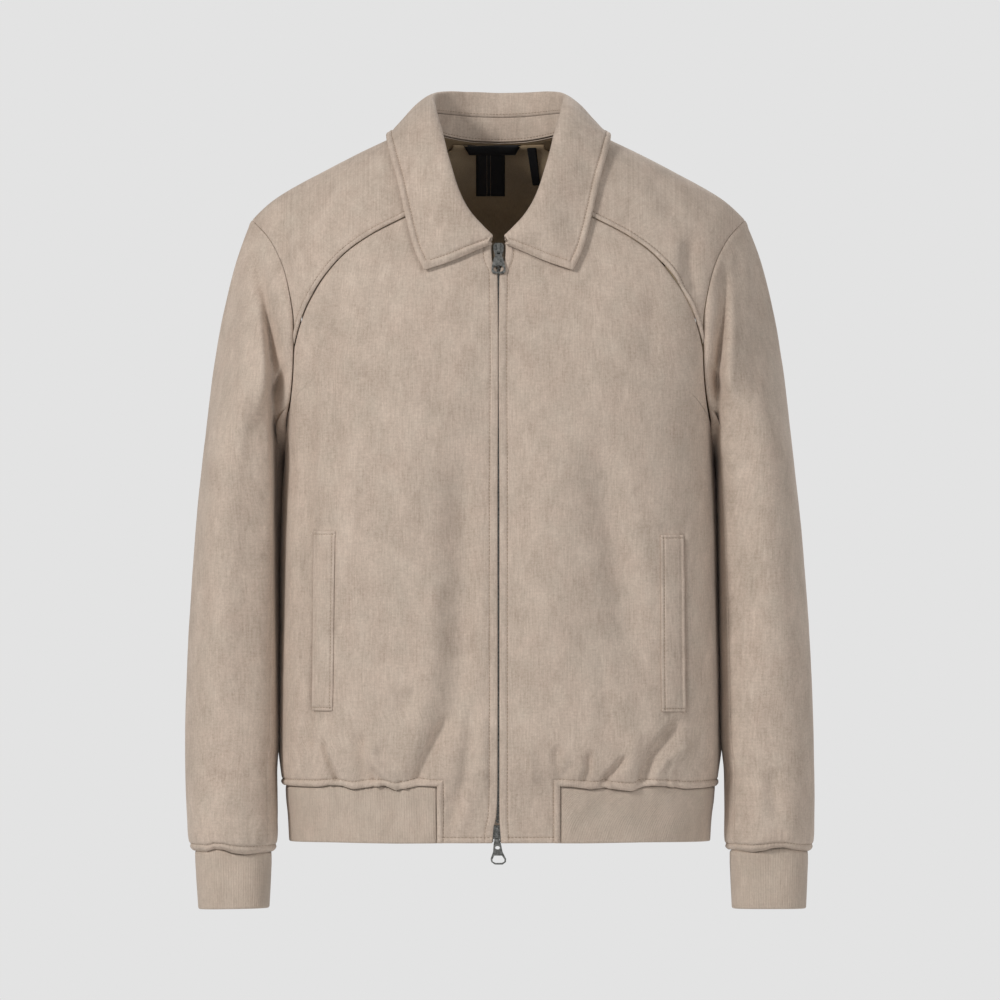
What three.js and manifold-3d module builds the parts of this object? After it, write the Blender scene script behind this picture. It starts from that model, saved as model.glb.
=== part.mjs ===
// A zip-up suede jacket, filled out with nobody in it. Millimetres, +Z up, front faces -Y.
// The origin is the middle of the neck at the height of the back neck seam.
// "_r" is the wearer's right (-X), "_l" the wearer's left (+X).
import * as THREE from 'three';

// ---------------------------------------------------------------- sizes
const SEAM_GAP = 0.3;            // clear gap between neighbouring pieces
const CLOTH = 1.8;               // suede panel
const RIB = 2.2;                 // hem band and cuffs, folded double
const STAND_WALL = 1.6;          // collar stand
const FALL_WALL = 2.4;           // collar fall, two layers and interlining
const LINING = 1.0;              // lining of the back
const LABEL = 1.0;               // woven labels
const TAPE = 1.0;                // zip tape
const DOME = 110;                // drop over which the shoulders round away
const FRONT_BULGE = 2.9;         // superellipse power of the front half of the body
const BACK_BULGE = 2.6;          // and of the back half
const SLEEVE_BULGE = 2.25;       // of the sleeve sections
const CUFF_BULGE = 2.9;
const HEM_SEAM_Z = -608;         // seam between panels and hem band
const HEM_Z = -661;              // lower edge of the jacket
const SLEEVE_TOP_RING_Z = -305;  // first level sleeve section under the armhole
const SLEEVE_END_Z = -669;       // seam between sleeve and cuff
const BLOCK_X = 57.7;            // where the hem band meets the plain front block
const TAPE_WIDTH = 14;
const CHAIN_HALF = 2.6;
const CHAIN_DEPTH = 2.2;

// ---------------------------------------------------------------- tables
const BODY = [ // level sections of the body: half width, depth of front and back, side shift
  { z: 20, half: 246, front: 72, back: 118, shift: 0 },
  { z: -20, half: 243, front: 77, back: 119, shift: 0 },
  { z: -60, half: 239, front: 82, back: 120, shift: 0 },
  { z: -98, half: 231, front: 88, back: 121, shift: 0 },
  { z: -150, half: 219.5, front: 105, back: 121, shift: 0 },
  { z: -220, half: 207.5, front: 120, back: 118, shift: 0.3 },
  { z: -281, half: 202, front: 123.5, back: 113, shift: 0.6 },
  { z: -370, half: 204.3, front: 121, back: 106, shift: 0.9 },
  { z: -460, half: 206, front: 116, back: 102, shift: 1.2 },
  { z: -540, half: 207, front: 113.5, back: 104, shift: 1.5 },
  { z: -590, half: 207, front: 112.5, back: 106.5, shift: 1.5 },
  { z: -612, half: 203.8, front: 106, back: 102.5, shift: 1.2 },
  { z: -636, half: 200.4, front: 102, back: 99.5, shift: 1 },
  { z: -664, half: 198.5, front: 100, back: 98, shift: 1 },
];
const SHOULDER = [ // height of the shoulder line
  { x: 0, z: 14 }, { x: 60, z: 14 }, { x: 75, z: 13.5 }, { x: 90, z: 7.5 }, { x: 106, z: 0.5 }, { x: 135, z: -13.5 },
  { x: 165, z: -29 }, { x: 195, z: -45 }, { x: 215, z: -58 }, { x: 233, z: -75 }, { x: 250, z: -96 },
];
const SHOULDER_SOFT = [ // the same line as it carries on below, without the turn at the neck
  { x: 0, z: 16 }, { x: 40, z: 13.5 }, { x: 80, z: 6.5 }, { x: 120, z: -7.5 }, { x: 160, z: -26.5 }, { x: 200, z: -50 }, { x: 233, z: -76 }, { x: 250, z: -92 },
];
const NECK_FRONT = [ // front neckline, shoulder to centre front
  { x: 75, z: 13.5 }, { x: 74, z: -8 }, { x: 69, z: -34 }, { x: 60, z: -57 }, { x: 47, z: -74 }, { x: 29, z: -87.5 }, { x: 6.4, z: -97 },
];
const NECK_YOKE_ROW = 3;         // row of NECK_FRONT where the yoke seam starts
const NECK_BACK = [ // back neckline, centre back to shoulder
  { x: 0, z: 0 }, { x: 25, z: 1.2 }, { x: 48, z: 5 }, { x: 65, z: 10 }, { x: 75, z: 13.5 },
];
const YOKE_SEAM = [ // neckline to armhole
  { x: 60, z: -57 }, { x: 74, z: -66 }, { x: 88, z: -73 }, { x: 121, z: -90 }, { x: 146, z: -108 }, { x: 165, z: -130 },
  { x: 180, z: -155 }, { x: 188, z: -176 }, { x: 192.5, z: -192.5 },
];
const ARMHOLE_FRONT = [ // shoulder point to underarm
  { x: 233, z: -75 }, { x: 216, z: -94 }, { x: 203.5, z: -119 }, { x: 196.5, z: -146 }, { x: 193, z: -169 }, { x: 192.5, z: -192.5 },
  { x: 193.5, z: -222 }, { x: 196.3, z: -249 }, { x: 200, z: -270 }, { x: 202.6, z: -281 },
];
const ARMHOLE_YOKE_ROW = 5;      // row where the yoke seam ends
const ARMHOLE_BACK = [ // shoulder point to underarm
  { x: 233, z: -75 }, { x: 213, z: -90 }, { x: 198, z: -112 }, { x: 190, z: -136 }, { x: 187.5, z: -163 }, { x: 188, z: -190 },
  { x: 190, z: -217 }, { x: 194.5, z: -245 }, { x: 199.5, z: -268 }, { x: 202.6, z: -281 },
];
const FRONT_EDGE = [ // distance of each front edge from the middle; the cloth parts round the sliders
  { z: -90, r: 6.4, l: 6.4 }, { z: -112, r: 6.2, l: 6.2 }, { z: -128, r: 1.0, l: 0.9 }, { z: -350, r: 0.9, l: 0.8 },
  { z: -600, r: 1.0, l: 0.8 }, { z: -636, r: 2.2, l: 0.9 }, { z: -646, r: 4.6, l: 1.2 }, { z: -652, r: 5.1, l: 1.7 }, { z: -664, r: 6.0, l: 2.5 },
];
const SLEEVE = [ // level sections of the sleeves: inner and outer x, middle of the depth, depth
  { z: -305, inR: 213.5, outR: 279.5, inL: 213, outL: 279.5, midY: 2, deep: 156 },
  { z: -360, inR: 211.5, outR: 285.5, inL: 211.5, outL: 285.5, midY: 0, deep: 146 },
  { z: -420, inR: 210.3, outR: 290, inL: 210.5, outL: 290.3, midY: -3, deep: 134 },
  { z: -480, inR: 209.5, outR: 293.5, inL: 211, outL: 294, midY: -7, deep: 122 },
  { z: -540, inR: 209, outR: 295, inL: 212, outL: 297, midY: -11, deep: 112 },
  { z: -600, inR: 208.5, outR: 295, inL: 212.5, outL: 298.5, midY: -16, deep: 104 },
  { z: -640, inR: 208.5, outR: 293.6, inL: 212.5, outL: 298.3, midY: -19, deep: 99 },
  { z: -660, inR: 209, outR: 292.3, inL: 213, outL: 297.6, midY: -20.5, deep: 96 },
  { z: -669, inR: 212.5, outR: 288, inL: 216.5, outL: 293.4, midY: -21, deep: 80 },
];
const CUFF = [ // sections of the cuffs
  { z: -669.3, inR: 212.7, outR: 287.6, inL: 216.8, outL: 293, midY: -21, deep: 78 },
  { z: -680, inR: 213.8, outR: 286, inL: 218, outL: 291.8, midY: -21, deep: 74 },
  { z: -702, inR: 214.8, outR: 284.6, inL: 219, outL: 290.8, midY: -21.5, deep: 73 },
  { z: -724, inR: 216, outR: 283, inL: 220, outL: 290, midY: -22, deep: 72 },
];
const SLEEVE_FOLD = [ // folds of the sleeves: place round (turns from outer edge through the front) and height, half sizes, depth
  { side: -1, turn: 0.335, z: -215, wide: 0.045, tall: 75, deep: -15 },
  { side: 1, turn: 0.335, z: -205, wide: 0.045, tall: 72, deep: -15 },
  { side: -1, turn: 0.20, z: -560, wide: 0.12, tall: 70, deep: -3.5 },
  { side: 1, turn: 0.22, z: -575, wide: 0.12, tall: 60, deep: -3.5 },
  { side: -1, turn: 0.72, z: -240, wide: 0.06, tall: 80, deep: -9 },
  { side: 1, turn: 0.72, z: -235, wide: 0.06, tall: 80, deep: -9 },
];
const BODY_FOLD = [ // broad folds of the body: place, lean, half sizes, depth; face -1 front, 1 back
  { face: -1, x: -42, z: -430, lean: 0.09, wide: 20, tall: 190, deep: -4 },
  { face: -1, x: 116, z: -400, lean: -0.16, wide: 22, tall: 170, deep: -4 },
  { face: -1, x: -158, z: -250, lean: 0.02, wide: 14, tall: 110, deep: -3 },
  { face: 1, x: -95, z: -400, lean: 0.12, wide: 26, tall: 190, deep: -5 },
  { face: 1, x: 88, z: -430, lean: -0.1, wide: 24, tall: 170, deep: -5 },
];
const COLLAR = [ // stations s from centre front (0) over the yoke seam (4) and shoulder (9) to centre back (13): roll line r, free edge e
  { s: 0, rx: 6.4, ry: -94.2, rz: -93.5, ex: 6.4, ez: -98.8 },
  { s: 1, rx: 15, ry: -93, rz: -86, ex: 23, ez: -106.5 },
  { s: 2, rx: 25.5, ry: -90, rz: -75, ex: 45, ez: -116.5 },
  { s: 3, rx: 34, ry: -86, rz: -62, ex: 69.5, ez: -125 },
  { s: 4, rx: 41, ry: -79, rz: -46, ex: 79, ez: -104 },
  { s: 5, rx: 46, ry: -69, rz: -30, ex: 86, ez: -78 },
  { s: 6, rx: 50.5, ry: -57, rz: -14, ex: 91, ez: -56 },
  { s: 7, rx: 54.5, ry: -43, rz: 2, ex: 95.5, ez: -36 },
  { s: 8, rx: 58.5, ry: -26, rz: 17, ex: 101, ez: -16 },
  { s: 9, rx: 61.5, ry: -2, rz: 31, ex: 104, ez: 2 },
  { s: 10, rx: 61.5, ry: 27, rz: 41.5, ex: 97, ez: 1 },
  { s: 11, rx: 49, ry: 50, rz: 44.8, ex: 76, ez: -6 },
  { s: 12, rx: 26, ry: 63, rz: 44.6, ex: 41, ez: -11 },
  { s: 13, rx: 0, ry: 66.5, rz: 44, ex: 0, ez: -13 },
];
const WELT = [ // pocket welts, corner x at the top and bottom
  { name: 'welt_r', topOut: -174.5, topIn: -152.5, topZ: -368.5, lowOut: -176, lowIn: -155.5, lowZ: -537 },
  { name: 'welt_l', topOut: 172.5, topIn: 152, topZ: -372, lowOut: 174.5, lowIn: 153, lowZ: -538 },
];
const PATCH = [ // labels sewn inside the back neck, seen from the front
  { name: 'label_loop', top: [-21.4, 6.1], low: [-21.4, 6.1], topZ: -7, lowZ: -50, lift: 1.6 },
  { name: 'label_main', top: [-33.7, 21.7], low: [-27.7, 15.9], topZ: -2.4, lowZ: -11.8, lift: 3.6 },
  { name: 'label_size', top: [26.4, 35.6], low: [32.5, 39.8], topZ: -2.4, lowZ: -39.9, lift: 1.6 },
];

// ---------------------------------------------------------------- small maths
const clamp = (v, a, b) => Math.min(b, Math.max(a, v));
const mix = (a, b, t) => a + (b - a) * t;
const smooth = (t) => { const c = clamp(t, 0, 1); return c * c * (3 - 2 * c); };

// a smooth curve through the rows of a table, read at a value of its key column
function through(table, key) {
  const rows = [...table].sort((a, b) => a[key] - b[key]);
  return (at, name) => {
    const n = rows.length;
    const v = clamp(at, rows[0][key], rows[n - 1][key]);
    let i = 0;
    while (i < n - 2 && v > rows[i + 1][key]) i++;
    const slope = (j) => {
      const a = Math.max(0, j - 1), b = Math.min(n - 1, j + 1);
      return (rows[b][name] - rows[a][name]) / (rows[b][key] - rows[a][key]);
    };
    const h = rows[i + 1][key] - rows[i][key], t = (v - rows[i][key]) / h;
    const t2 = t * t, t3 = t2 * t;
    return (2 * t3 - 3 * t2 + 1) * rows[i][name] + (t3 - 2 * t2 + t) * h * slope(i)
      + (3 * t2 - 2 * t3) * rows[i + 1][name] + (t3 - t2) * h * slope(i + 1);
  };
}
// a smooth curve through rows taken in order, read at a row number that may be a fraction
function along(table) {
  const rows = table.map((row, i) => ({ ...row, row_: i }));
  return through(rows, 'row_');
}
const bodyAt = through(BODY, 'z');
const shoulderAt = through(SHOULDER, 'x');
const softShoulderAt = through(SHOULDER_SOFT, 'x');
const edgeAt = through(FRONT_EDGE, 'z');
const sleeveAt = through(SLEEVE, 'z');
const cuffAt = through(CUFF, 'z');

// ---------------------------------------------------------------- the body surface
// phi runs across (0 the middle, +-90 degrees the side seams), w runs down from the shoulder line
const drop = (w) => (w <= 1 ? 1 - Math.cos(Math.PI * w / 2) : 1 + (w - 1) * Math.PI / 2);
const heightAt = (x, w) => mix(shoulderAt(Math.abs(x), 'z'), softShoulderAt(Math.abs(x), 'z'), smooth(w / 0.75)) - DOME * drop(w);
function depthInverse(x, z) { // the w at which the surface over x is at height z
  let low = 0, high = 6;
  for (let i = 0; i < 40; i++) { const m = (low + high) / 2; if (heightAt(x, m) > z) low = m; else high = m; }
  return (low + high) / 2;
}
const power = (face) => (face < 0 ? FRONT_BULGE : BACK_BULGE);

function plainBody(face, phi, w) {
  const n = power(face);
  const s = Math.sign(Math.sin(phi)) * Math.abs(Math.sin(phi)) ** (2 / n);
  const c = Math.abs(Math.cos(phi)) ** (2 / n);
  let z = -DOME * drop(w), x = 0;
  for (let i = 0; i < 14; i++) {
    x = bodyAt(z, 'shift') + bodyAt(z, 'half') * s;
    z = heightAt(x, w);
  }
  const round = w <= 1 ? Math.sin(Math.PI * w / 2) : 1;
  return new THREE.Vector3(x, face * bodyAt(z, face < 0 ? 'front' : 'back') * round * c, z);
}
function normalOf(surface, a, b, da, db) {
  const u = surface(a + da, b).sub(surface(a - da, b));
  const v = surface(a, b + db).sub(surface(a, b - db));
  return u.cross(v).normalize();
}
function foldDepth(face, x, z) {
  let sum = 0;
  for (const f of BODY_FOLD) {
    if (f.face !== face) continue;
    const across = (x - f.x - f.lean * (z - f.z)) / f.wide, up = (z - f.z) / f.tall;
    sum += f.deep * Math.exp(-across * across) * (Math.abs(up) < 1 ? (1 - up * up) ** 2 : 0);
  }
  return sum;
}
function bodyNormal(face, phi, w) {
  const limit = Math.PI / 2 - 0.004;
  const n = normalOf((a, b) => plainBody(face, a, b), clamp(phi, -limit, limit), Math.max(w, 0.004), 0.003, 0.003);
  if (n.y * face < 0 && Math.abs(n.y) > 1e-9) n.negate();
  const towardSide = smooth((Math.abs(phi) - 1.35) / 0.2) * (w > 1 ? 1 : 0);
  if (towardSide > 0) n.lerp(new THREE.Vector3(Math.sign(phi), 0, 0), towardSide).normalize();
  if (w < 0.02) n.y = 0, n.normalize();
  if (n.z < 0 && w < 0.3) n.negate();
  return n;
}
function bodyPoint(face, phi, w) {
  const p = plainBody(face, phi, w);
  return p.addScaledVector(bodyNormal(face, phi, w), foldDepth(face, p.x, p.z));
}
function bodyParam(face, x, z) {
  const s = clamp((x - bodyAt(z, 'shift')) / bodyAt(z, 'half'), -1, 1);
  return [Math.sign(s) * Math.asin(Math.abs(s) ** (power(face) / 2)), depthInverse(x, z)];
}

// ---------------------------------------------------------------- walls
// a wall from a net of outer points and an offset for each, closed along its free edges
function wall(outer, offset, quads) {
  const n = outer.length;
  const position = [];
  for (const p of outer) position.push(p.x, p.y, p.z);
  for (let i = 0; i < n; i++) position.push(outer[i].x + offset[i].x, outer[i].y + offset[i].y, outer[i].z + offset[i].z);
  const index = [], edges = new Map();
  const out = (a, b, c) => {
    index.push(a, b, c, a + n, c + n, b + n);
    for (const [p, q] of [[a, b], [b, c], [c, a]]) {
      if (edges.has(`${q}_${p}`)) edges.delete(`${q}_${p}`); else edges.set(`${p}_${q}`, [p, q]);
    }
  };
  for (const [a, b, c, d] of quads) { out(a, b, c); out(a, c, d); }
  for (const [p, q] of edges.values()) index.push(p, p + n, q, q, p + n, q + n);
  const geometry = new THREE.BufferGeometry();
  geometry.setAttribute('position', new THREE.Float32BufferAttribute(position, 3));
  geometry.setIndex(index);
  // faces point out when the enclosed volume is positive
  let volume = 0;
  const v = (i) => new THREE.Vector3(position[3 * i], position[3 * i + 1], position[3 * i + 2]);
  for (let i = 0; i < index.length; i += 3) volume += v(index[i]).dot(v(index[i + 1]).cross(v(index[i + 2]))) / 6;
  if (volume < 0) for (let i = 0; i < index.length; i += 3) [index[i + 1], index[i + 2]] = [index[i + 2], index[i + 1]];
  geometry.setIndex(index);
  geometry.computeVertexNormals();
  return geometry;
}
// a net of rows of { p, n }: outer point and outward normal
function sheet(rows, thick, closedRound = false) {
  const cols = rows[0].length, points = [], offsets = [], quads = [];
  rows.forEach((row) => row.forEach((e) => {
    if (!e) { points.push(null); offsets.push(null); return; }
    points.push(e.p); offsets.push(e.n.clone().multiplyScalar(-thick));
  }));
  const used = points.map(() => -1), P = [], O = [];
  const id = (i) => { if (used[i] < 0) { used[i] = P.length; P.push(points[i]); O.push(offsets[i]); } return used[i]; };
  for (let r = 0; r + 1 < rows.length; r++) {
    for (let c = 0; c + 1 < cols + (closedRound ? 1 : 0); c++) {
      const d = (c + 1) % cols;
      const q = [r * cols + c, r * cols + d, (r + 1) * cols + d, (r + 1) * cols + c];
      if (q.every((i) => points[i])) quads.push(q.map(id));
    }
  }
  return wall(P, O, quads);
}
// draws the rim of a net in by half of the seam gap, square to each edge and within the surface
function drawnIn(rows, top = 1, right = 1, bottom = 1, left = 1) {
  const half = SEAM_GAP / 2 + 0.03;
  const copy = rows.map((row) => row.map((e) => (e ? { p: e.p.clone(), n: e.n } : null)));
  const at = (r, c) => (rows[r] && rows[r][c] ? rows[r][c] : null);
  rows.forEach((row, r) => row.forEach((e, c) => {
    if (!e) return;
    const inward = [];
    const side = (open, into, a, b, k) => {
      if (open || !into || !k) return;
      const from = a ?? e, to = b ?? e;
      if (from === to) return;
      const t = to.p.clone().sub(from.p).normalize(), n = (e.s ?? e.n).clone().normalize();
      const q = into.p.clone().sub(e.p);
      q.addScaledVector(t, -q.dot(t)).addScaledVector(n, -q.dot(n));
      if (q.length() > 1e-6) inward.push(q.normalize());
    };
    side(at(r - 1, c), at(r + 1, c), at(r, c - 1), at(r, c + 1), top);
    side(at(r + 1, c), at(r - 1, c), at(r, c - 1), at(r, c + 1), bottom);
    side(at(r, c - 1), at(r, c + 1), at(r - 1, c), at(r + 1, c), left);
    side(at(r, c + 1), at(r, c - 1), at(r - 1, c), at(r + 1, c), right);
    const d = new THREE.Vector3();
    if (inward.length === 1) d.copy(inward[0]).multiplyScalar(half);
    if (inward.length >= 2) {
      const [a, b] = inward, g = clamp(a.dot(b), -0.97, 0.97), k = half * (1 - g) / (1 - g * g);
      d.addScaledVector(a, k).addScaledVector(b, k);
      if (d.length() > 6 * half) d.setLength(6 * half);
    }
    copy[r][c].p.add(d);
  }));
  return copy;
}

// ---------------------------------------------------------------- seams, as body parameters
const spread = (table, count, from = 0, to = table.length - 1) => {
  const read = along(table), list = [];
  for (let i = 0; i <= count; i++) {
    const at = mix(from, to, i / count);
    list.push({ x: read(at, 'x'), z: read(at, 'z') });
  }
  return list;
};
const toParam = (face, side, list) => list.map((q) => bodyParam(face, side * q.x, q.z));

const NECK_COLS = 4, YOKE_COLS = 8, BLOCK_COLS = 3, BACK_NECK_COLS = 4, BACK_SHOULDER_COLS = 7;
const SIDE_ROWS = 8;
const ARM_UPPER = ARMHOLE_YOKE_ROW, ARM_LOWER = ARMHOLE_FRONT.length - 1 - ARMHOLE_YOKE_ROW;
const ARM_ROWS = ARMHOLE_FRONT.length - 1;
const underarm = (face, side) => [side * Math.PI / 2, bodyParam(face, side * 202.6, -281)[1]];
const sideLevel = (i) => mix(-281, HEM_SEAM_Z, i / SIDE_ROWS);
const sideSeam = (face, side) => Array.from({ length: SIDE_ROWS + 1 }, (_, i) => {
  const z = sideLevel(i), x = bodyAt(z, 'shift') + side * bodyAt(z, 'half');
  return [side * Math.PI / 2, bodyParam(face, x, z)[1]];
});
// hem seam columns, the same for panels and band
const FRONT_HEM_COLS = NECK_COLS + YOKE_COLS - BLOCK_COLS, BACK_HEM_COLS = BACK_NECK_COLS + BACK_SHOULDER_COLS;
function hemFront(side, z, i) { // i from the block to the side seam
  const start = bodyParam(-1, side * BLOCK_X, z)[0];
  return mix(start, side * Math.PI / 2, i / FRONT_HEM_COLS);
}
function hemBack(side, i) { return side * Math.PI / 2 * (i / BACK_HEM_COLS); }
function levelParam(face, phi, z) { // w of a level z on the column phi
  const n = power(face);
  const s = Math.sign(Math.sin(phi)) * Math.abs(Math.sin(phi)) ** (2 / n);
  const x = bodyAt(z, 'shift') + bodyAt(z, 'half') * s;
  return depthInverse(x, z);
}

// fills a net between four seams, in body parameters
function coons(top, bottom, left, right) {
  const m = top.length - 1, n = left.length - 1, net = [];
  for (let j = 0; j <= n; j++) {
    const row = [];
    for (let i = 0; i <= m; i++) {
      const u = i / m, v = j / n;
      row.push([0, 1].map((k) => mix(top[i][k], bottom[i][k], v) + mix(left[j][k], right[j][k], u)
        - mix(mix(top[0][k], top[m][k], u), mix(bottom[0][k], bottom[m][k], u), v)));
    }
    net.push(row);
  }
  return net;
}
const atArmhole = (e, side, turn) => ({ p: e.p, s: e.n, n: armholeOffset(side, turn).body });
const onBody = (face, net) => net.map((row) => row.map((q) => (q ? { p: bodyPoint(face, q[0], q[1]), n: bodyNormal(face, q[0], q[1]) } : null)));

// ---------------------------------------------------------------- sleeves
const TURN_STEPS = 2 * ARM_ROWS;
const foreArm = along(ARMHOLE_FRONT), hindArm = along(ARMHOLE_BACK);
// turn 0 at the shoulder point, 0.25 in front, 0.5 at the underarm, 0.75 behind
function armholeAt(side, turn) {
  const t = ((turn % 1) + 1) % 1, front = t <= 0.5;
  const row = (front ? t : 1 - t) * 2 * ARM_ROWS;
  const read = front ? foreArm : hindArm, face = front ? -1 : 1;
  let x = read(row, 'x'), z = read(row, 'z');
  let param = bodyParam(face, side * x, z);
  if (row > ARM_ROWS - 1e-6) param = underarm(face, side);
  if (row < 1e-6) param = [param[0], 0];
  return { p: bodyPoint(face, param[0], param[1]), n: bodyNormal(face, param[0], param[1]), face };
}
function ringAt(side, turn, z, read, bulge) {
  const tail = side < 0 ? 'R' : 'L';
  const inner = read(z, `in${tail}`), outer = read(z, `out${tail}`);
  const a = turn * 2 * Math.PI;
  const c = Math.sign(Math.cos(a)) * Math.abs(Math.cos(a)) ** (2 / bulge);
  const s = Math.sign(Math.sin(a)) * Math.abs(Math.sin(a)) ** (2 / bulge);
  return new THREE.Vector3(side * (mix(inner, outer, 0.5) + (outer - inner) / 2 * c), read(z, 'midY') - read(z, 'deep') / 2 * s, z);
}
// row 0 is the armhole, CAP_ROWS the first level section, then down to the cuff seam
const CAP_ROWS = 6, ARM_LEVELS = [-305, -350, -400, -450, -500, -550, -600, -640, -660, SLEEVE_END_Z];
const SLEEVE_ROWS = CAP_ROWS + ARM_LEVELS.length - 1;
function sleevePlain(side, turn, row) {
  if (row >= CAP_ROWS) {
    const k = row - CAP_ROWS, i = Math.min(Math.floor(k), ARM_LEVELS.length - 2);
    return ringAt(side, turn, mix(ARM_LEVELS[i], ARM_LEVELS[i + 1], k - i), sleeveAt, SLEEVE_BULGE);
  }
  const t = row / CAP_ROWS;
  const seam = armholeAt(side, turn), start = seam.p, end = ringAt(side, turn, SLEEVE_TOP_RING_Z, sleeveAt, SLEEVE_BULGE);
  const after = ringAt(side, turn, SLEEVE_TOP_RING_Z - 30, sleeveAt, SLEEVE_BULGE);
  const reach = start.distanceTo(end);
  const a = turn * 2 * Math.PI, low = (1 - Math.cos(a)) / 2;
  start.addScaledVector(seam.n, 0.85 * smooth((low - 0.83) / 0.1)); // clear of the body where the two run side by side

  const leave = new THREE.Vector3(side * mix(0.40, 0.52, low), -0.2 * Math.sin(a), -0.9).normalize().multiplyScalar(reach);
  const arrive = after.sub(end).normalize().multiplyScalar(reach);
  const t2 = t * t, t3 = t2 * t;
  return start.multiplyScalar(2 * t3 - 3 * t2 + 1).addScaledVector(leave, t3 - 2 * t2 + t)
    .addScaledVector(end, 3 * t2 - 2 * t3).addScaledVector(arrive, t3 - t2);
}
function sleeveNormal(side, turn, row) {
  const n = normalOf((a, b) => sleevePlain(side, a, b), turn, clamp(row, 0.02, SLEEVE_ROWS - 0.02), 0.004, 0.02);
  return side < 0 ? n : n.negate();
}
function sleevePoint(side, turn, row) {
  const p = sleevePlain(side, turn, row), n = sleeveNormal(side, turn, row);
  let sum = 0;
  for (const f of SLEEVE_FOLD) {
    if (f.side !== side) continue;
    const t = ((turn % 1) + 1) % 1;
    const round = (t - f.turn) / f.wide, up = (p.z - f.z) / f.tall;
    sum += f.deep * Math.exp(-round * round) * (Math.abs(up) < 1 ? (1 - up * up) ** 2 : 0);
  }
  return { p: p.addScaledVector(n, sum * smooth(row / 1.2)), n };
}
// where the sleeve falls away below the body surface both pieces share one mitre; elsewhere each keeps its own normal
function armholeOffset(side, turn) {
  const body = armholeAt(side, turn).n;
  const here = sleevePoint(side, turn, 0).p, next = sleevePoint(side, turn, 1).p;
  const leaving = next.clone().sub(here).normalize();
  const step = 0.5 / TURN_STEPS;
  const round = sleevePoint(side, turn + step, 0).p.sub(sleevePoint(side, turn - step, 0).p);
  const arm = round.cross(leaving).normalize().multiplyScalar(side);
  const sink = leaving.dot(body);
  if (sink > -0.02 || body.dot(arm) < -0.4) return { body, arm };
  const m = body.clone().add(arm).normalize();
  m.multiplyScalar(1 / Math.max(0.6, m.dot(arm)));
  return { body: m, arm: m };
}
function sleeveNet(side, fromStep, toStep) {
  const rows = [], point = (k, r) => sleevePoint(side, k / TURN_STEPS, r).p;
  for (let r = 0; r <= SLEEVE_ROWS; r++) {
    const row = [];
    for (let k = fromStep; k <= toStep; k++) {
      const p = point(k, r);
      const down = point(k, Math.min(r + 1, SLEEVE_ROWS)).sub(point(k, Math.max(r - 1, 0)));
      const round = point(k + 1, r).sub(point(k - 1, r));
      const n = round.cross(down).normalize().multiplyScalar(side);
      const e = { p, n, s: n };
      if (r === 0) e.n = armholeOffset(side, k / TURN_STEPS).arm;
      if (r === SLEEVE_ROWS) e.n = n.clone().setZ(0).normalize();
      row.push(e);
    }
    rows.push(row);
  }
  return rows;
}

// ---------------------------------------------------------------- body panels
// levels of the front edge: three close together where the cloth parts round the top slider
function frontLevels(n) {
  const upper = [NECK_FRONT.at(-1).z, -112, -128];
  return [...upper, ...Array.from({ length: n - 2 }, (_, j) => mix(-128, HEM_SEAM_Z, (j + 1) / (n - 2)))];
}
const BLOCK_LEVELS = [-622, -636, -646, -652, HEM_Z];
function frontNet(side) {
  const tail = side < 0 ? 'r' : 'l';
  const neck = spread(NECK_FRONT, NECK_COLS, NECK_FRONT.length - 1, NECK_YOKE_ROW);
  const yoke = spread(YOKE_SEAM, YOKE_COLS);
  const top = toParam(-1, side, [...neck, ...yoke.slice(1)]);
  const arm = toParam(-1, side, spread(ARMHOLE_FRONT, ARM_LOWER, ARMHOLE_YOKE_ROW, ARM_ROWS));
  arm[ARM_LOWER] = underarm(-1, side);
  const right = [...arm, ...sideSeam(-1, side).slice(1)];
  const n = right.length - 1;
  const edgePhi = (z) => bodyParam(-1, side * edgeAt(z, tail), z);
  const left = frontLevels(n).map(edgePhi);
  const bottom = [];
  for (let i = 0; i <= BLOCK_COLS; i++) bottom.push(bodyParam(-1, side * mix(edgeAt(HEM_SEAM_Z, tail), BLOCK_X, i / BLOCK_COLS), HEM_SEAM_Z));
  for (let i = 1; i <= FRONT_HEM_COLS; i++) { const phi = hemFront(side, HEM_SEAM_Z, i); bottom.push([phi, levelParam(-1, phi, HEM_SEAM_Z)]); }
  left[n] = bottom[0];
  const net = coons(top, bottom, left, right);
  for (const z of BLOCK_LEVELS) {
    const row = top.map(() => null);
    for (let i = 0; i <= BLOCK_COLS; i++) row[i] = bodyParam(-1, side * mix(edgeAt(z, tail), BLOCK_X, i / BLOCK_COLS), z);
    net.push(row);
  }
  const rows = onBody(-1, net);
  for (let j = 0; j <= ARM_LOWER; j++) rows[j][top.length - 1] = atArmhole(rows[j][top.length - 1], side, (ARMHOLE_YOKE_ROW + j) / TURN_STEPS);
  return drawnIn(rows, 1, 1, 1, 0);
}
function yokeNet(side) {
  const seam = toParam(-1, side, spread(YOKE_SEAM, YOKE_COLS));
  const shoulder = Array.from({ length: YOKE_COLS + 1 }, (_, i) => [bodyParam(-1, side * mix(75, 233, i / YOKE_COLS), shoulderAt(mix(75, 233, i / YOKE_COLS), 'z'))[0], 0]);
  const neck = toParam(-1, side, spread(NECK_FRONT, ARM_UPPER, 0, NECK_YOKE_ROW));
  neck[0] = shoulder[0];
  const arm = toParam(-1, side, spread(ARMHOLE_FRONT, ARM_UPPER, 0, ARMHOLE_YOKE_ROW));
  arm[0] = shoulder[YOKE_COLS];
  const rows = onBody(-1, coons(shoulder, seam, neck, arm));
  for (let j = 0; j <= ARM_UPPER; j++) rows[j][YOKE_COLS] = atArmhole(rows[j][YOKE_COLS], side, j / TURN_STEPS);
  return drawnIn(rows);
}
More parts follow.
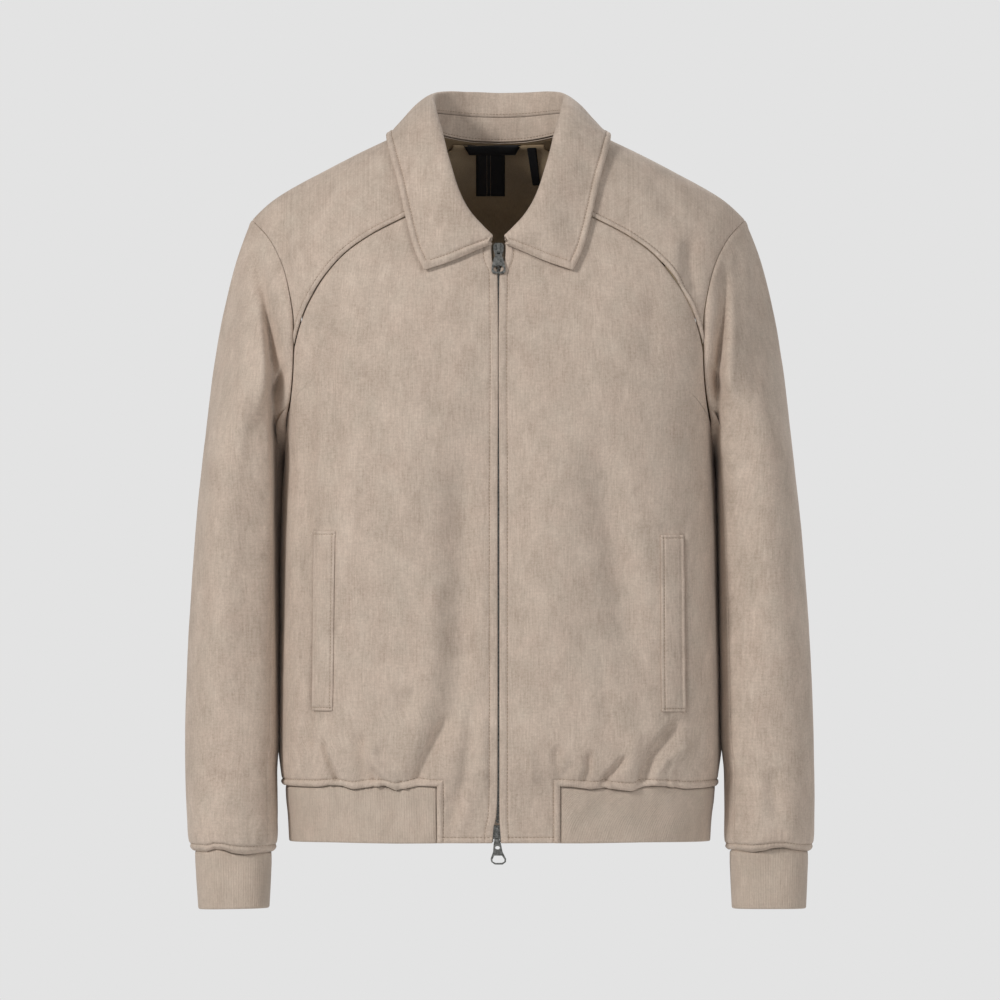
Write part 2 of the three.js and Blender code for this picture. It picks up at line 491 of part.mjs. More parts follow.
function backNet() {
  const half = (side) => {
    const neck = toParam(1, side, spread(NECK_BACK, BACK_NECK_COLS));
    const shoulder = [];
    for (let i = 1; i <= BACK_SHOULDER_COLS; i++) {
      const x = mix(75, 233, i / BACK_SHOULDER_COLS);
      shoulder.push([bodyParam(1, side * x, shoulderAt(x, 'z'))[0], 0]);
    }
    neck[BACK_NECK_COLS] = [neck[BACK_NECK_COLS][0], 0];
    const top = [...neck, ...shoulder];
    const arm = toParam(1, side, spread(ARMHOLE_BACK, ARM_ROWS));
    arm[0] = top.at(-1);
    arm[ARM_ROWS] = underarm(1, side);
    const right = [...arm, ...sideSeam(1, side).slice(1)];
    const n = right.length - 1;
    const left = Array.from({ length: n + 1 }, (_, j) => bodyParam(1, 0, mix(0, HEM_SEAM_Z, (j / n) ** 1.15)));
    const bottom = Array.from({ length: BACK_HEM_COLS + 1 }, (_, i) => { const phi = hemBack(side, i); return [phi, levelParam(1, phi, HEM_SEAM_Z)]; });
    left[0] = top[0];
    left[n] = bottom[0];
    const rows = onBody(1, coons(top, bottom, left, right));
    for (let j = 0; j <= ARM_ROWS; j++) rows[j][top.length - 1] = atArmhole(rows[j][top.length - 1], side, 1 - j / TURN_STEPS);
    return rows;
  };
  const a = half(-1), b = half(1);
  const rows = a.map((row, j) => [...row.slice(1).reverse(), ...b[j]]);
  return drawnIn(rows);
}
// hem band, from block to block round the back
function hemNet() {
  const levels = [HEM_SEAM_Z, -622, -640, HEM_Z];
  const rows = levels.map((z) => {
    const row = [];
    for (let i = 0; i <= FRONT_HEM_COLS; i++) row.push([-1, hemFront(-1, z, i)]);
    for (let i = BACK_HEM_COLS - 1; i >= 0; i--) row.push([1, hemBack(-1, i)]);
    for (let i = 1; i <= BACK_HEM_COLS; i++) row.push([1, hemBack(1, i)]);
    for (let i = FRONT_HEM_COLS - 1; i >= 0; i--) row.push([-1, hemFront(1, z, i)]);
    return row.map(([face, phi]) => {
      const w = levelParam(face, phi, z);
      return { p: bodyPoint(face, phi, w), n: bodyNormal(face, phi, w) };
    });
  });
  return drawnIn(rows, 1, 1, 0, 1);
}

// ---------------------------------------------------------------- collar
const collarAt = through(COLLAR, 's');
const COLLAR_STEPS = NECK_COLS + ARM_UPPER + BACK_NECK_COLS; // from centre front to centre back
// the neck seam, at the same points as the panels' necklines
function neckSeam(side) {
  const front = [...spread(NECK_FRONT, NECK_COLS, NECK_FRONT.length - 1, NECK_YOKE_ROW), ...spread(NECK_FRONT, ARM_UPPER, NECK_YOKE_ROW, 0).slice(1)];
  const back = spread(NECK_BACK, BACK_NECK_COLS, NECK_BACK.length - 1, 0).slice(1);
  const list = front.map((q, i) => {
    const param = bodyParam(-1, side * q.x, q.z);
    if (i === front.length - 1) param[1] = 0;
    return bodyPoint(-1, ...param);
  });
  return [...list, ...back.map((q) => bodyPoint(1, ...bodyParam(1, side * q.x, q.z)))];
}
// how far up from the neck seam to the roll line the stand ends: low in front, half way behind
const standShare = (s) => mix(0.36, 0.52, smooth((s - 3) / 7));
const LEAF_CLEAR = 2.6;          // the leaf's underside above the panels at its free edge
const LEAF_PUFF = 4.4;           // and near the roll
function freeEdge(side, s) {
  const x = side * collarAt(s, 'ex'), z = collarAt(s, 'ez');
  const over = (face) => {
    const q = bodyParam(face, x, Math.min(z, shoulderAt(Math.abs(x), 'z') - 0.3));
    return bodyPoint(face, ...q).addScaledVector(bodyNormal(face, ...q), LEAF_CLEAR);
  };
  return over(s <= 9 ? -1 : 1);
}
// a point pushed out to at least a given distance from the body surface
function clearOfBody(p, least) {
  const face = p.y < 0 ? -1 : 1;
  const q = bodyParam(face, p.x, Math.min(p.z, shoulderAt(Math.abs(p.x), 'z') - 0.3));
  const on = bodyPoint(face, q[0], q[1]), n = bodyNormal(face, q[0], q[1]);
  const gap = p.clone().sub(on).dot(n);
  return gap < least ? p.addScaledVector(n, least - gap) : p;
}
function collarNets() {
  const STAND_PARTS = 2, INNER_PARTS = 2, LEAF_PARTS = 6;
  const seams = { '-1': neckSeam(-1), 1: neckSeam(1) };
  const column = [];
  for (let i = -COLLAR_STEPS; i <= COLLAR_STEPS; i++) {
    const side = i <= 0 ? -1 : 1, s = COLLAR_STEPS - Math.abs(i);
    const neck = seams[side][s].clone();
    const rollAt = (q) => {
      const at = Math.min(COLLAR_STEPS, Math.max(0, q));
      return new THREE.Vector3(side * collarAt(at, 'rx'), collarAt(at, 'ry'), collarAt(at, 'rz'));
    };
    const roll = rollAt(s), edge = freeEdge(side, s);
    if (i === 0) { neck.x = 0; roll.x = 0; edge.x = 0; }
    const seam = neck.clone().lerp(roll, standShare(s));
    const up = roll.clone().sub(neck).normalize();
    const onward = i === 0 ? new THREE.Vector3(1, 0, 0) : rollAt(s + 0.5).sub(rollAt(s - 0.5)).multiplyScalar(i < 0 ? 1 : -1);
    const fold = up.clone().cross(onward).normalize(); // toward the inside of the fold
    const stand = [], fall = [];
    for (let k = 0; k <= STAND_PARTS; k++) stand.push(neck.clone().addScaledVector(up, SEAM_GAP).lerp(seam, k / STAND_PARTS));
    const first = seam.clone().addScaledVector(up, SEAM_GAP + 0.35);
    for (let k = 0; k < INNER_PARTS; k++) fall.push(first.clone().lerp(roll, k / INNER_PARTS));
    fall.push(roll.clone());
    const crest = roll.clone().addScaledVector(up, 0.6).addScaledVector(fold, 2.6);
    fall.push(roll.clone().addScaledVector(up, 1.2).addScaledVector(fold, 1.1));
    const reach = crest.distanceTo(edge);
    for (let k = 1; k <= LEAF_PARTS; k++) {
      const t = ((k - 0.55) / (LEAF_PARTS - 0.55)) ** 1.15;
      const p = crest.clone().lerp(edge, t).addScaledVector(fold, 0.16 * Math.min(reach, 30) * Math.sin(Math.PI * t ** 0.7) * (1 - t));
      fall.push(k === LEAF_PARTS ? edge : clearOfBody(p, mix(LEAF_PUFF, LEAF_CLEAR, t)));
    }
    column.push({ stand, fall });
  }
  const net = (key) => {
    const rows = column[0][key].map((_, k) => column.map((c) => ({ p: c[key][k] })));
    const R = rows.length, C = rows[0].length;
    const point = (r, c) => rows[clamp(r, 0, R - 1)][clamp(c, 0, C - 1)].p;
    rows.forEach((row, r) => row.forEach((e, c) => {
      e.n = point(r + 1, c).clone().sub(point(r - 1, c)).cross(point(r, c + 1).clone().sub(point(r, c - 1))).normalize();
    }));
    return rows;
  };
  return { stand: net('stand'), fall: net('fall') };
}

// ---------------------------------------------------------------- pieces lying on or under a panel
function strip(face, corners, cols, rowsCount, outer, thick) {
  // corners: left and right x at the top, the same at the bottom, both levels
  const rows = [];
  for (let j = 0; j <= rowsCount; j++) {
    const v = j / rowsCount, z = mix(corners.topZ, corners.lowZ, v), row = [];
    for (let i = 0; i <= cols; i++) {
      const x = mix(mix(corners.topA, corners.lowA, v), mix(corners.topB, corners.lowB, v), i / cols);
      const q = bodyParam(face, x, z);
      const n = bodyNormal(face, q[0], q[1]);
      row.push({ p: bodyPoint(face, q[0], q[1]).addScaledVector(n, outer), n });
    }
    rows.push(row);
  }
  return sheet(rows, thick);
}

// ---------------------------------------------------------------- zip
// it lies behind the front edges, deeper where the edges close over the bottom slider
const CHAIN_BEHIND = CLOTH + 0.9, LOW_EXTRA = 2.3;
const behindAt = (z) => CHAIN_BEHIND + LOW_EXTRA * smooth((-626 - z) / 16);
function surfaceY(x, z) { const q = bodyParam(-1, x, z); return bodyPoint(-1, q[0], q[1]).y; }
const chainX = (z) => (edgeAt(z, 'l') - edgeAt(z, 'r')) / 2;
const zipLevels = (from, to) => {
  const all = [...frontLevels(ARM_LOWER + SIDE_ROWS), ...BLOCK_LEVELS];
  return [from, ...all.filter((z) => z < from - 4 && z > to + 4), to];
};
function zipRun(xa, xb, fromZ, toZ, front, thick) {
  const n = new THREE.Vector3(0, -1, 0);
  const rows = zipLevels(fromZ, toZ).map((z) => [xa, xb].map((x) => {
    const at = chainX(z) + x;
    return { p: new THREE.Vector3(at, surfaceY(at, z) + behindAt(z) + front, z), n };
  }));
  return sheet(rows, thick);
}
const SLIDER = { width: 10.2, tall: 12.6, plate: 1.4, slot: 3.0, core: 2.2, bailWide: 2.4, bailHigh: 4.2, bailBar: 0.9 };
// an outline in X and Z, drawn out along Y
function slab(outline, y0, y1, holes = []) {
  const shape = new THREE.Shape(outline.map(([x, z]) => new THREE.Vector2(x, z)));
  for (const h of holes) shape.holes.push(new THREE.Path(h.map(([x, z]) => new THREE.Vector2(x, z))));
  const g = new THREE.ExtrudeGeometry(shape, { depth: Math.abs(y1 - y0), bevelEnabled: false, curveSegments: 8 });
  g.rotateX(Math.PI / 2); // shape y becomes +Z, depth becomes -Y
  g.translate(0, Math.max(y0, y1), 0);
  return g;
}
import Module from 'manifold-3d';
import { mergeVertices } from 'three/addons/utils/BufferGeometryUtils.js';
const wasm = await Module();
wasm.setup();
function toSolid(geometry) {
  const g = geometry.clone();
  for (const name of ['normal', 'uv']) g.deleteAttribute(name);
  const m = mergeVertices(g, 1e-4);
  return new wasm.Manifold(new wasm.Mesh({
    numProp: 3, vertProperties: new Float32Array(m.attributes.position.array), triVerts: new Uint32Array(m.index.array),
  }));
}
function joined(list, cuts = []) {
  let sum = null;
  for (const g of list) sum = sum ? sum.add(toSolid(g)) : toSolid(g);
  for (const g of cuts) sum = sum.subtract(toSolid(g));
  const m = sum.getMesh(), g = new THREE.BufferGeometry();
  g.setAttribute('position', new THREE.Float32BufferAttribute(Array.from(m.vertProperties), 3));
  g.setIndex(Array.from(m.triVerts));
  g.computeVertexNormals();
  return g;
}
// slider about its own middle: front plate toward -Y, crown at the top
function sliderGeometry(flip) {
  const w = SLIDER.width / 2, h = SLIDER.tall / 2, s = SLIDER.slot / 2, p = SLIDER.plate;
  const outline = [[-w * 0.62, h], [w * 0.62, h], [w, h * 0.55], [w * 0.96, 0], [w * 0.62, -h], [-w * 0.62, -h], [-w * 0.96, 0], [-w, h * 0.55]]
    .map(([x, z]) => [x, z * flip]);
  const order = flip > 0 ? outline.slice().reverse() : outline;
  const b = SLIDER.bailWide / 2, high = SLIDER.bailHigh, bar = SLIDER.bailBar;
  const y = -s - p;
  const arch = (z0, z1, ya, yb) => new THREE.BoxGeometry(2 * b, Math.abs(ya - yb), Math.abs(z1 - z0)).translate(0, (ya + yb) / 2, (z0 + z1) / 2);
  return joined([
    slab(order, -s - p, -s),
    slab(order, s, s + p),
    new THREE.BoxGeometry(2 * SLIDER.core, 2 * s + p, h * 0.9).translate(0, 0, flip * h * 0.45),
    arch(4.6, 3.4, y + 0.2, y - high), arch(-4.6, -3.4, y + 0.2, y - high), arch(4.6, -4.6, y - high + bar, y - high),
  ]);
}
// pull tab: eye at the top round the bail, a neck, then a tab with an oval window; hangs from its own origin
function ringPath(cx, cz, rx, rz, count, turn = 1) {
  return Array.from({ length: count }, (_, i) => { const a = turn * i / count * 2 * Math.PI; return [cx + rx * Math.cos(a), cz + rz * Math.sin(a)]; });
}
const PULL_HALF = 0.65;          // half thickness of the pull tabs
const PULL_TOP = [ // half width down the top pull
  { z: 1.3, x: 2.6 }, { z: -3.0, x: 2.7 }, { z: -6.5, x: 4.3 }, { z: -15.5, x: 6.4 }, { z: -19.6, x: 6.6 }, { z: -22.0, x: 5.0 },
];
const PULL_LOW = [ // half width down the bottom pull
  { z: 1.2, x: 2.45 }, { z: -4.0, x: 2.6 }, { z: -7.4, x: 3.5 }, { z: -14.8, x: 4.5 }, { z: -21.2, x: 7.3 }, { z: -24.2, x: 6.9 }, { z: -26.6, x: 3.6 },
];
const PULL_LEAN = 0.075;          // the bottom pull leans a little to +X
const bothSides = (table) => [...table.map((q) => [q.x, q.z]), ...[...table].reverse().map((q) => [-q.x, q.z])];
const PULL_EYE = [[-1.65, 0.5], [-1.65, -2.6], [1.65, -2.6], [1.65, 0.5]];
function pullTop() {
  const through = (outline) => slab(outline, -PULL_HALF - 1, PULL_HALF + 1);
  return joined([slab(bothSides(PULL_TOP), -PULL_HALF, PULL_HALF)], [through(PULL_EYE), through(ringPath(0, -17.2, 5.0, 3.3, 18))]).translate(0, 0, -0.9);
}
function pullLow() {
  const window = [{ z: -18.2, x: 3.6 }, { z: -22.0, x: 5.7 }, { z: -23.8, x: 5.4 }, { z: -25.0, x: 3.0 }];
  const through = (outline) => slab(outline, -PULL_HALF - 1, PULL_HALF + 1);
  const g = joined([slab(bothSides(PULL_LOW), -PULL_HALF, PULL_HALF)], [through(PULL_EYE), through(ringPath(0, -10.8, 2.2, 1.6, 12)), through(bothSides(window))]);
  const p = g.attributes.position;
  for (let i = 0; i < p.count; i++) p.setX(i, p.getX(i) - PULL_LEAN * p.getZ(i));
  return g.translate(0, 0, -0.9);
}

// ---------------------------------------------------------------- the jacket
const suede = (tone = 0xb3a392) => new THREE.MeshStandardMaterial({ color: tone, roughness: 0.95, metalness: 0, side: THREE.DoubleSide });
const liningStuff = () => new THREE.MeshStandardMaterial({ color: 0x5a4d3b, roughness: 0.6, metalness: 0 });
const black = () => new THREE.MeshStandardMaterial({ color: 0x17171a, roughness: 0.7, metalness: 0 });
const steel = () => new THREE.MeshStandardMaterial({ color: 0x6d6f6e, roughness: 0.35, metalness: 0.95 });
const tapeStuff = () => new THREE.MeshStandardMaterial({ color: 0x8d7e6c, roughness: 0.9, metalness: 0 });

const jacket = new THREE.Group();
function add(name, geometry, material, place) {
  const mesh = new THREE.Mesh(geometry, material);
  mesh.name = name;
  if (place) { mesh.position.copy(place.at); mesh.rotation.set(place.tilt ?? 0, 0, 0); }
  jacket.add(mesh);
}
const UNDER_FROM = 7, UNDER_TO = 12; // armhole steps of the under sleeve
for (const side of [-1, 1]) {
  const tail = side < 0 ? 'r' : 'l';
  add(`front_${tail}`, sheet(frontNet(side), CLOTH), suede());
  add(`yoke_${tail}`, sheet(yokeNet(side), CLOTH), suede(0xb5a594));
  add(`sleeve_top_${tail}`, sheet(drawnIn(sleeveNet(side, UNDER_TO, UNDER_FROM + TURN_STEPS)), CLOTH), suede());
  add(`sleeve_under_${tail}`, sheet(drawnIn(sleeveNet(side, UNDER_FROM, UNDER_TO)), CLOTH), suede(0xa99988));
  const cuffLevels = [CUFF[0].z, -690, CUFF.at(-1).z], CUFF_STEPS = 18;
  const cuff = cuffLevels.map((z) => Array.from({ length: CUFF_STEPS }, (_, k) => {
    const turn = k / CUFF_STEPS;
    const surface = (a, b) => ringAt(side, a, b, cuffAt, CUFF_BULGE);
    const n = normalOf(surface, turn, clamp(z, CUFF.at(-1).z + 1, CUFF[0].z - 1), 0.004, 0.5);
    const middle = ringAt(side, turn, z, cuffAt, CUFF_BULGE);
    const centre = new THREE.Vector3(side * mix(cuffAt(z, side < 0 ? 'inR' : 'inL'), cuffAt(z, side < 0 ? 'outR' : 'outL'), 0.5), cuffAt(z, 'midY'), z);
    if (n.dot(middle.clone().sub(centre)) < 0) n.negate();
    return { p: middle, n: n.setZ(0).normalize() };
  }));
  add(`cuff_${tail}`, sheet(cuff, RIB, true), suede(0xae9e8d));
}
add('back', sheet(backNet(), CLOTH), suede());
add('hem_band', sheet(hemNet(), RIB), suede(0xae9e8d));
const collar = collarNets();
add('collar_stand', sheet(collar.stand, STAND_WALL), suede(0xa99988));
add('collar_fall', sheet(collar.fall, FALL_WALL), suede(0xb7a796));
for (const w of WELT) {
  add(w.name, strip(-1, { topA: w.topOut, topB: w.topIn, lowA: w.lowOut, lowB: w.lowIn, topZ: w.topZ, lowZ: w.lowZ }, 2, 6, 0.4 + 1.5, 1.5), suede());
}
// lining of the back, hung inside it from the neck seam to the hem seam
const LINING_GAP = 3.4;          // between panel and lining
{
  const rows = [], cols = 12;
  for (const z of [-3.0, -16, -36, -66, -110, -190, -290, -400, -500, -596]) {
    const row = [];
    const reach = z > -66 ? 38 - 1.75 * z : z > -320 ? 162 : 178;
    for (let i = 0; i <= cols; i++) {
      const x = Math.min(158, reach) * (2 * i / cols - 1);
      const level = Math.min(z, shoulderAt(Math.abs(x), 'z') - 12);
      const q = bodyParam(1, x, level), n = bodyNormal(1, q[0], q[1]);
      row.push({ p: bodyPoint(1, q[0], q[1]).addScaledVector(n, -(CLOTH + LINING_GAP + 1.4 * smooth(1 + z / 70))), n });
    }
    rows.push(row);
  }
  add('lining_back', sheet(rows, LINING), liningStuff());
}
for (const l of PATCH) {
  add(l.name, strip(1, { topA: l.top[0], topB: l.top[1], lowA: l.low[0], lowB: l.low[1], topZ: l.topZ, lowZ: l.lowZ }, 4, l.name === 'label_main' ? 1 : 3, -(CLOTH + LINING_GAP + 1.4 + LINING + l.lift), LABEL), black());
}
// zip
const ZIP_TOP = -98, TOP_SLIDER_Z = -105, LOW_SLIDER_Z = -650.5;
add('zip_tape_r', zipRun(-3.1 - TAPE_WIDTH, -3.1, ZIP_TOP, HEM_Z + 1, 0.6, TAPE), tapeStuff());
add('zip_tape_l', zipRun(3.1, 3.1 + TAPE_WIDTH, ZIP_TOP, HEM_Z + 1, 0.6, TAPE), tapeStuff());
add('zip_chain', zipRun(-CHAIN_HALF, CHAIN_HALF, TOP_SLIDER_Z - 7, LOW_SLIDER_Z + 7, 0, CHAIN_DEPTH), steel());
for (const [name, z, flip] of [['top', TOP_SLIDER_Z, 1], ['bottom', LOW_SLIDER_Z, -1]]) {
  const slope = (surfaceY(0, z - 6) - surfaceY(0, z + 6)) / 12;   // how far the front leans out going down
  const tilt = Math.atan(slope);
  const middle = new THREE.Vector3(chainX(z), surfaceY(0, z) + behindAt(z) + CHAIN_DEPTH / 2, z);
  add(`slider_${name}`, sliderGeometry(flip), steel(), { at: middle, tilt });
  const reach = SLIDER.slot / 2 + SLIDER.plate + SLIDER.bailHigh - SLIDER.bailBar - PULL_HALF - 0.35;
  const pivot = middle.clone().add(new THREE.Vector3(0, -reach, -2.6).applyAxisAngle(new THREE.Vector3(1, 0, 0), tilt));
  add(`pull_${name}`, name === 'top' ? pullTop() : pullLow(), steel(), { at: pivot, tilt: name === 'top' ? -0.37 : 0 });
}
export default jacket;
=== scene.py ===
import math

import bpy
import numpy as np
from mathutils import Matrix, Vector


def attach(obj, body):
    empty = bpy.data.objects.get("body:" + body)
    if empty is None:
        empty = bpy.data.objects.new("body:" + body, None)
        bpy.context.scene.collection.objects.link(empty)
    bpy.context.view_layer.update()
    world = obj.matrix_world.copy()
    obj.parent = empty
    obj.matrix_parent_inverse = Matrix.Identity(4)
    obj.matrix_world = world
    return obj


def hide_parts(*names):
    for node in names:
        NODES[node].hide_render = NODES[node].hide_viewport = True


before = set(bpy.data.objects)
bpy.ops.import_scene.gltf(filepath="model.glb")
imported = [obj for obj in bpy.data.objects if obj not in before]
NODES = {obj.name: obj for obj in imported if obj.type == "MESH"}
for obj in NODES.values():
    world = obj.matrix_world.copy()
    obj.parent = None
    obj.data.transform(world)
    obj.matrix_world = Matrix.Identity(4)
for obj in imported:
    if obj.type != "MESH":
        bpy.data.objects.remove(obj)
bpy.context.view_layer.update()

# ------------------------------------------------------------------ camera, lights, surroundings
PX = 0.94  # millimetres of the jacket for one pixel of the picture


def at_px(x, y):
    """X and Z in millimetres of a place in the picture."""
    return ((x - 498.5) * PX, (139 - y) * PX)


scene = bpy.context.scene
CAM_FAR = 12.0
cam_data = bpy.data.cameras.new("camera")
cam_data.sensor_width = 36
cam_data.lens = 36 * (CAM_FAR - 0.06) / (PX * 1000 / 1000)
cam_data.clip_start, cam_data.clip_end = 0.1, 100
camera = bpy.data.objects.new("camera", cam_data)
scene.collection.objects.link(camera)
camera.location = (0.0014, -CAM_FAR, (139 - 500) * PX / 1000)
camera.rotation_euler = (math.pi / 2, 0, 0)
scene.camera = camera
scene.view_settings.view_transform = "Standard"
scene.view_settings.look = "None"

# ------------------------------------------------------------------ sizes and tables, as in the CAD
CLOTH, RIB, STAND_WALL, FALL_WALL = 1.8, 2.2, 1.6, 2.4
DOME, FRONT_BULGE, BACK_BULGE, SLEEVE_BULGE, CUFF_BULGE = 110, 2.9, 2.6, 2.25, 2.9
HEM_SEAM_Z, HEM_Z, SLEEVE_TOP_RING_Z, SLEEVE_END_Z, BLOCK_X = -608, -661, -305, -669, 57.7


def rows(names, *values):
    return [dict(zip(names.split(), v)) for v in values]


BODY = rows("z half front back shift",
    (20, 246, 72, 118, 0), (-20, 243, 77, 119, 0), (-60, 239, 82, 120, 0), (-98, 231, 88, 121, 0), (-150, 219.5, 105, 121, 0),
    (-220, 207.5, 120, 118, 0.3), (-281, 202, 123.5, 113, 0.6), (-370, 204.3, 121, 106, 0.9), (-460, 206, 116, 102, 1.2),
    (-540, 207, 113.5, 104, 1.5), (-590, 207, 112.5, 106.5, 1.5), (-612, 203.8, 106, 102.5, 1.2), (-636, 200.4, 102, 99.5, 1),
    (-664, 198.5, 100, 98, 1))
SHOULDER = rows("x z", (0, 14), (60, 14), (75, 13.5), (90, 7.5), (106, 0.5), (135, -13.5), (165, -29), (195, -45), (215, -58), (233, -75), (250, -96))
SHOULDER_SOFT = rows("x z", (0, 16), (40, 13.5), (80, 6.5), (120, -7.5), (160, -26.5), (200, -50), (233, -76), (250, -92))
NECK_FRONT = rows("x z", (75, 13.5), (74, -8), (69, -34), (60, -57), (47, -74), (29, -87.5), (6.4, -97))
NECK_BACK = rows("x z", (0, 0), (25, 1.2), (48, 5), (65, 10), (75, 13.5))
YOKE_SEAM = rows("x z", (60, -57), (74, -66), (88, -73), (121, -90), (146, -108), (165, -130), (180, -155), (188, -176), (192.5, -192.5))
ARMHOLE_FRONT = rows("x z", (233, -75), (216, -94), (203.5, -119), (196.5, -146), (193, -169), (192.5, -192.5), (193.5, -222), (196.3, -249), (200, -270), (202.6, -281))
ARMHOLE_BACK = rows("x z", (233, -75), (213, -90), (198, -112), (190, -136), (187.5, -163), (188, -190), (190, -217), (194.5, -245), (199.5, -268), (202.6, -281))
FRONT_EDGE = rows("z r l", (-90, 6.4, 6.4), (-112, 6.2, 6.2), (-128, 1.0, 0.9), (-350, 0.9, 0.8), (-600, 1.0, 0.8), (-636, 2.2, 0.9), (-646, 4.6, 1.2), (-652, 5.1, 1.7), (-664, 6.0, 2.5))
SLEEVE = rows("z inR outR inL outL midY deep",
    (-305, 213.5, 279.5, 213, 279.5, 2, 156), (-360, 211.5, 285.5, 211.5, 285.5, 0, 146), (-420, 210.3, 290, 210.5, 290.3, -3, 134),
    (-480, 209.5, 293.5, 211, 294, -7, 122), (-540, 209, 295, 212, 297, -11, 112), (-600, 208.5, 295, 212.5, 298.5, -16, 104),
    (-640, 208.5, 293.6, 212.5, 298.3, -19, 99), (-660, 209, 292.3, 213, 297.6, -20.5, 96), (-669, 212.5, 288, 216.5, 293.4, -21, 80))
CUFF = rows("z inR outR inL outL midY deep",
    (-669.3, 212.7, 287.6, 216.8, 293, -21, 78), (-680, 213.8, 286, 218, 291.8, -21, 74), (-702, 214.8, 284.6, 219, 290.8, -21.5, 73), (-724, 216, 283, 220, 290, -22, 72))
SLEEVE_FOLD = rows("side turn z wide tall deep",
    (-1, 0.335, -215, 0.045, 75, -15), (1, 0.335, -205, 0.045, 72, -15), (-1, 0.20, -560, 0.12, 70, -3.5), (1, 0.22, -575, 0.12, 60, -3.5),
    (-1, 0.72, -240, 0.06, 80, -9), (1, 0.72, -235, 0.06, 80, -9))
BODY_FOLD = rows("face x z lean wide tall deep",
    (-1, -42, -430, 0.09, 20, 190, -4), (-1, 116, -400, -0.16, 22, 170, -4), (-1, -158, -250, 0.02, 14, 110, -3),
    (1, -95, -400, 0.12, 26, 190, -5), (1, 88, -430, -0.1, 24, 170, -5))
COLLAR = rows("s rx ry rz ex ez",
    (0, 6.4, -94.2, -93.5, 6.4, -98.8), (1, 15, -93, -86, 23, -106.5), (2, 25.5, -90, -75, 45, -116.5), (3, 34, -86, -62, 69.5, -125),
    (4, 41, -79, -46, 79, -104), (5, 46, -69, -30, 86, -78), (6, 50.5, -57, -14, 91, -56), (7, 54.5, -43, 2, 95.5, -36),
    (8, 58.5, -26, 17, 101, -16), (9, 61.5, -2, 31, 104, 2), (10, 61.5, 27, 41.5, 97, 1), (11, 49, 50, 44.8, 76, -6),
    (12, 26, 63, 44.6, 41, -11), (13, 0, 66.5, 44, 0, -13))
WELT = [
    dict(name="welt_r", side=-1, topOut=-174.5, topIn=-152.5, topZ=-368.5, lowOut=-176, lowIn=-155.5, lowZ=-537),
    dict(name="welt_l", side=1, topOut=172.5, topIn=152, topZ=-372, lowOut=174.5, lowIn=153, lowZ=-538),
]


# ------------------------------------------------------------------ small maths
def mix(a, b, t):
    return a + (b - a) * t


def smooth(t):
    t = np.clip(t, 0, 1)
    return t * t * (3 - 2 * t)


def unit(v):
    return v / np.maximum(np.linalg.norm(v, axis=-1, keepdims=True), 1e-12)


def dot(a, b):
    return (a * b).sum(-1)


def vec(*parts):
    return np.stack(np.broadcast_arrays(*parts), -1).astype(float)


class Through:
    """A smooth curve through the rows of a table, read at values of its key column."""

    def __init__(self, table, key):
        table = sorted(table, key=lambda r: r[key])
        self.k = np.array([r[key] for r in table], float)
        n, self.cols = len(table), {}
        for name in table[0]:
            if name == key:
                continue
            v = np.array([r[name] for r in table], float)
            lo, hi = np.maximum(np.arange(n) - 1, 0), np.minimum(np.arange(n) + 1, n - 1)
            self.cols[name] = (v, (v[hi] - v[lo]) / (self.k[hi] - self.k[lo]))

    def __call__(self, at, name):
        k, (v, m) = self.k, self.cols[name]
        at = np.clip(np.asarray(at, float), k[0], k[-1])
        i = np.clip(np.searchsorted(k, at) - 1, 0, len(k) - 2)
        h = k[i + 1] - k[i]
        t = (at - k[i]) / h
        t2, t3 = t * t, t * t * t
        return (2 * t3 - 3 * t2 + 1) * v[i] + (t3 - 2 * t2 + t) * h * m[i] + (3 * t2 - 2 * t3) * v[i + 1] + (t3 - t2) * h * m[i + 1]


def along(table):
    return Through([{**r, "row_": i} for i, r in enumerate(table)], "row_")


body_at, shoulder_at, soft_at = Through(BODY, "z"), Through(SHOULDER, "x"), Through(SHOULDER_SOFT, "x")
edge_at, sleeve_at, cuff_at = Through(FRONT_EDGE, "z"), Through(SLEEVE, "z"), Through(CUFF, "z")

_tables = {}


def noise(p, size, seed):
    """Smooth noise from -1 to 1 with blobs of the given size in millimetres."""
    if seed not in _tables:
        _tables[seed] = np.random.default_rng(seed).uniform(-1, 1, (29, 31, 37))
    t = _tables[seed]
    q = np.asarray(p, float) / np.asarray(size, float) + 200.37
    i = np.floor(q).astype(int)
    f = q - i
    f = f * f * (3 - 2 * f)
    out = 0.0
    for a in (0, 1):
        for b in (0, 1):
            for c in (0, 1):
                w = (f[..., 0] if a else 1 - f[..., 0]) * (f[..., 1] if b else 1 - f[..., 1]) * (f[..., 2] if c else 1 - f[..., 2])
                out = out + w * t[(i[..., 0] + a) % 29, (i[..., 1] + b) % 31, (i[..., 2] + c) % 37]
    return out


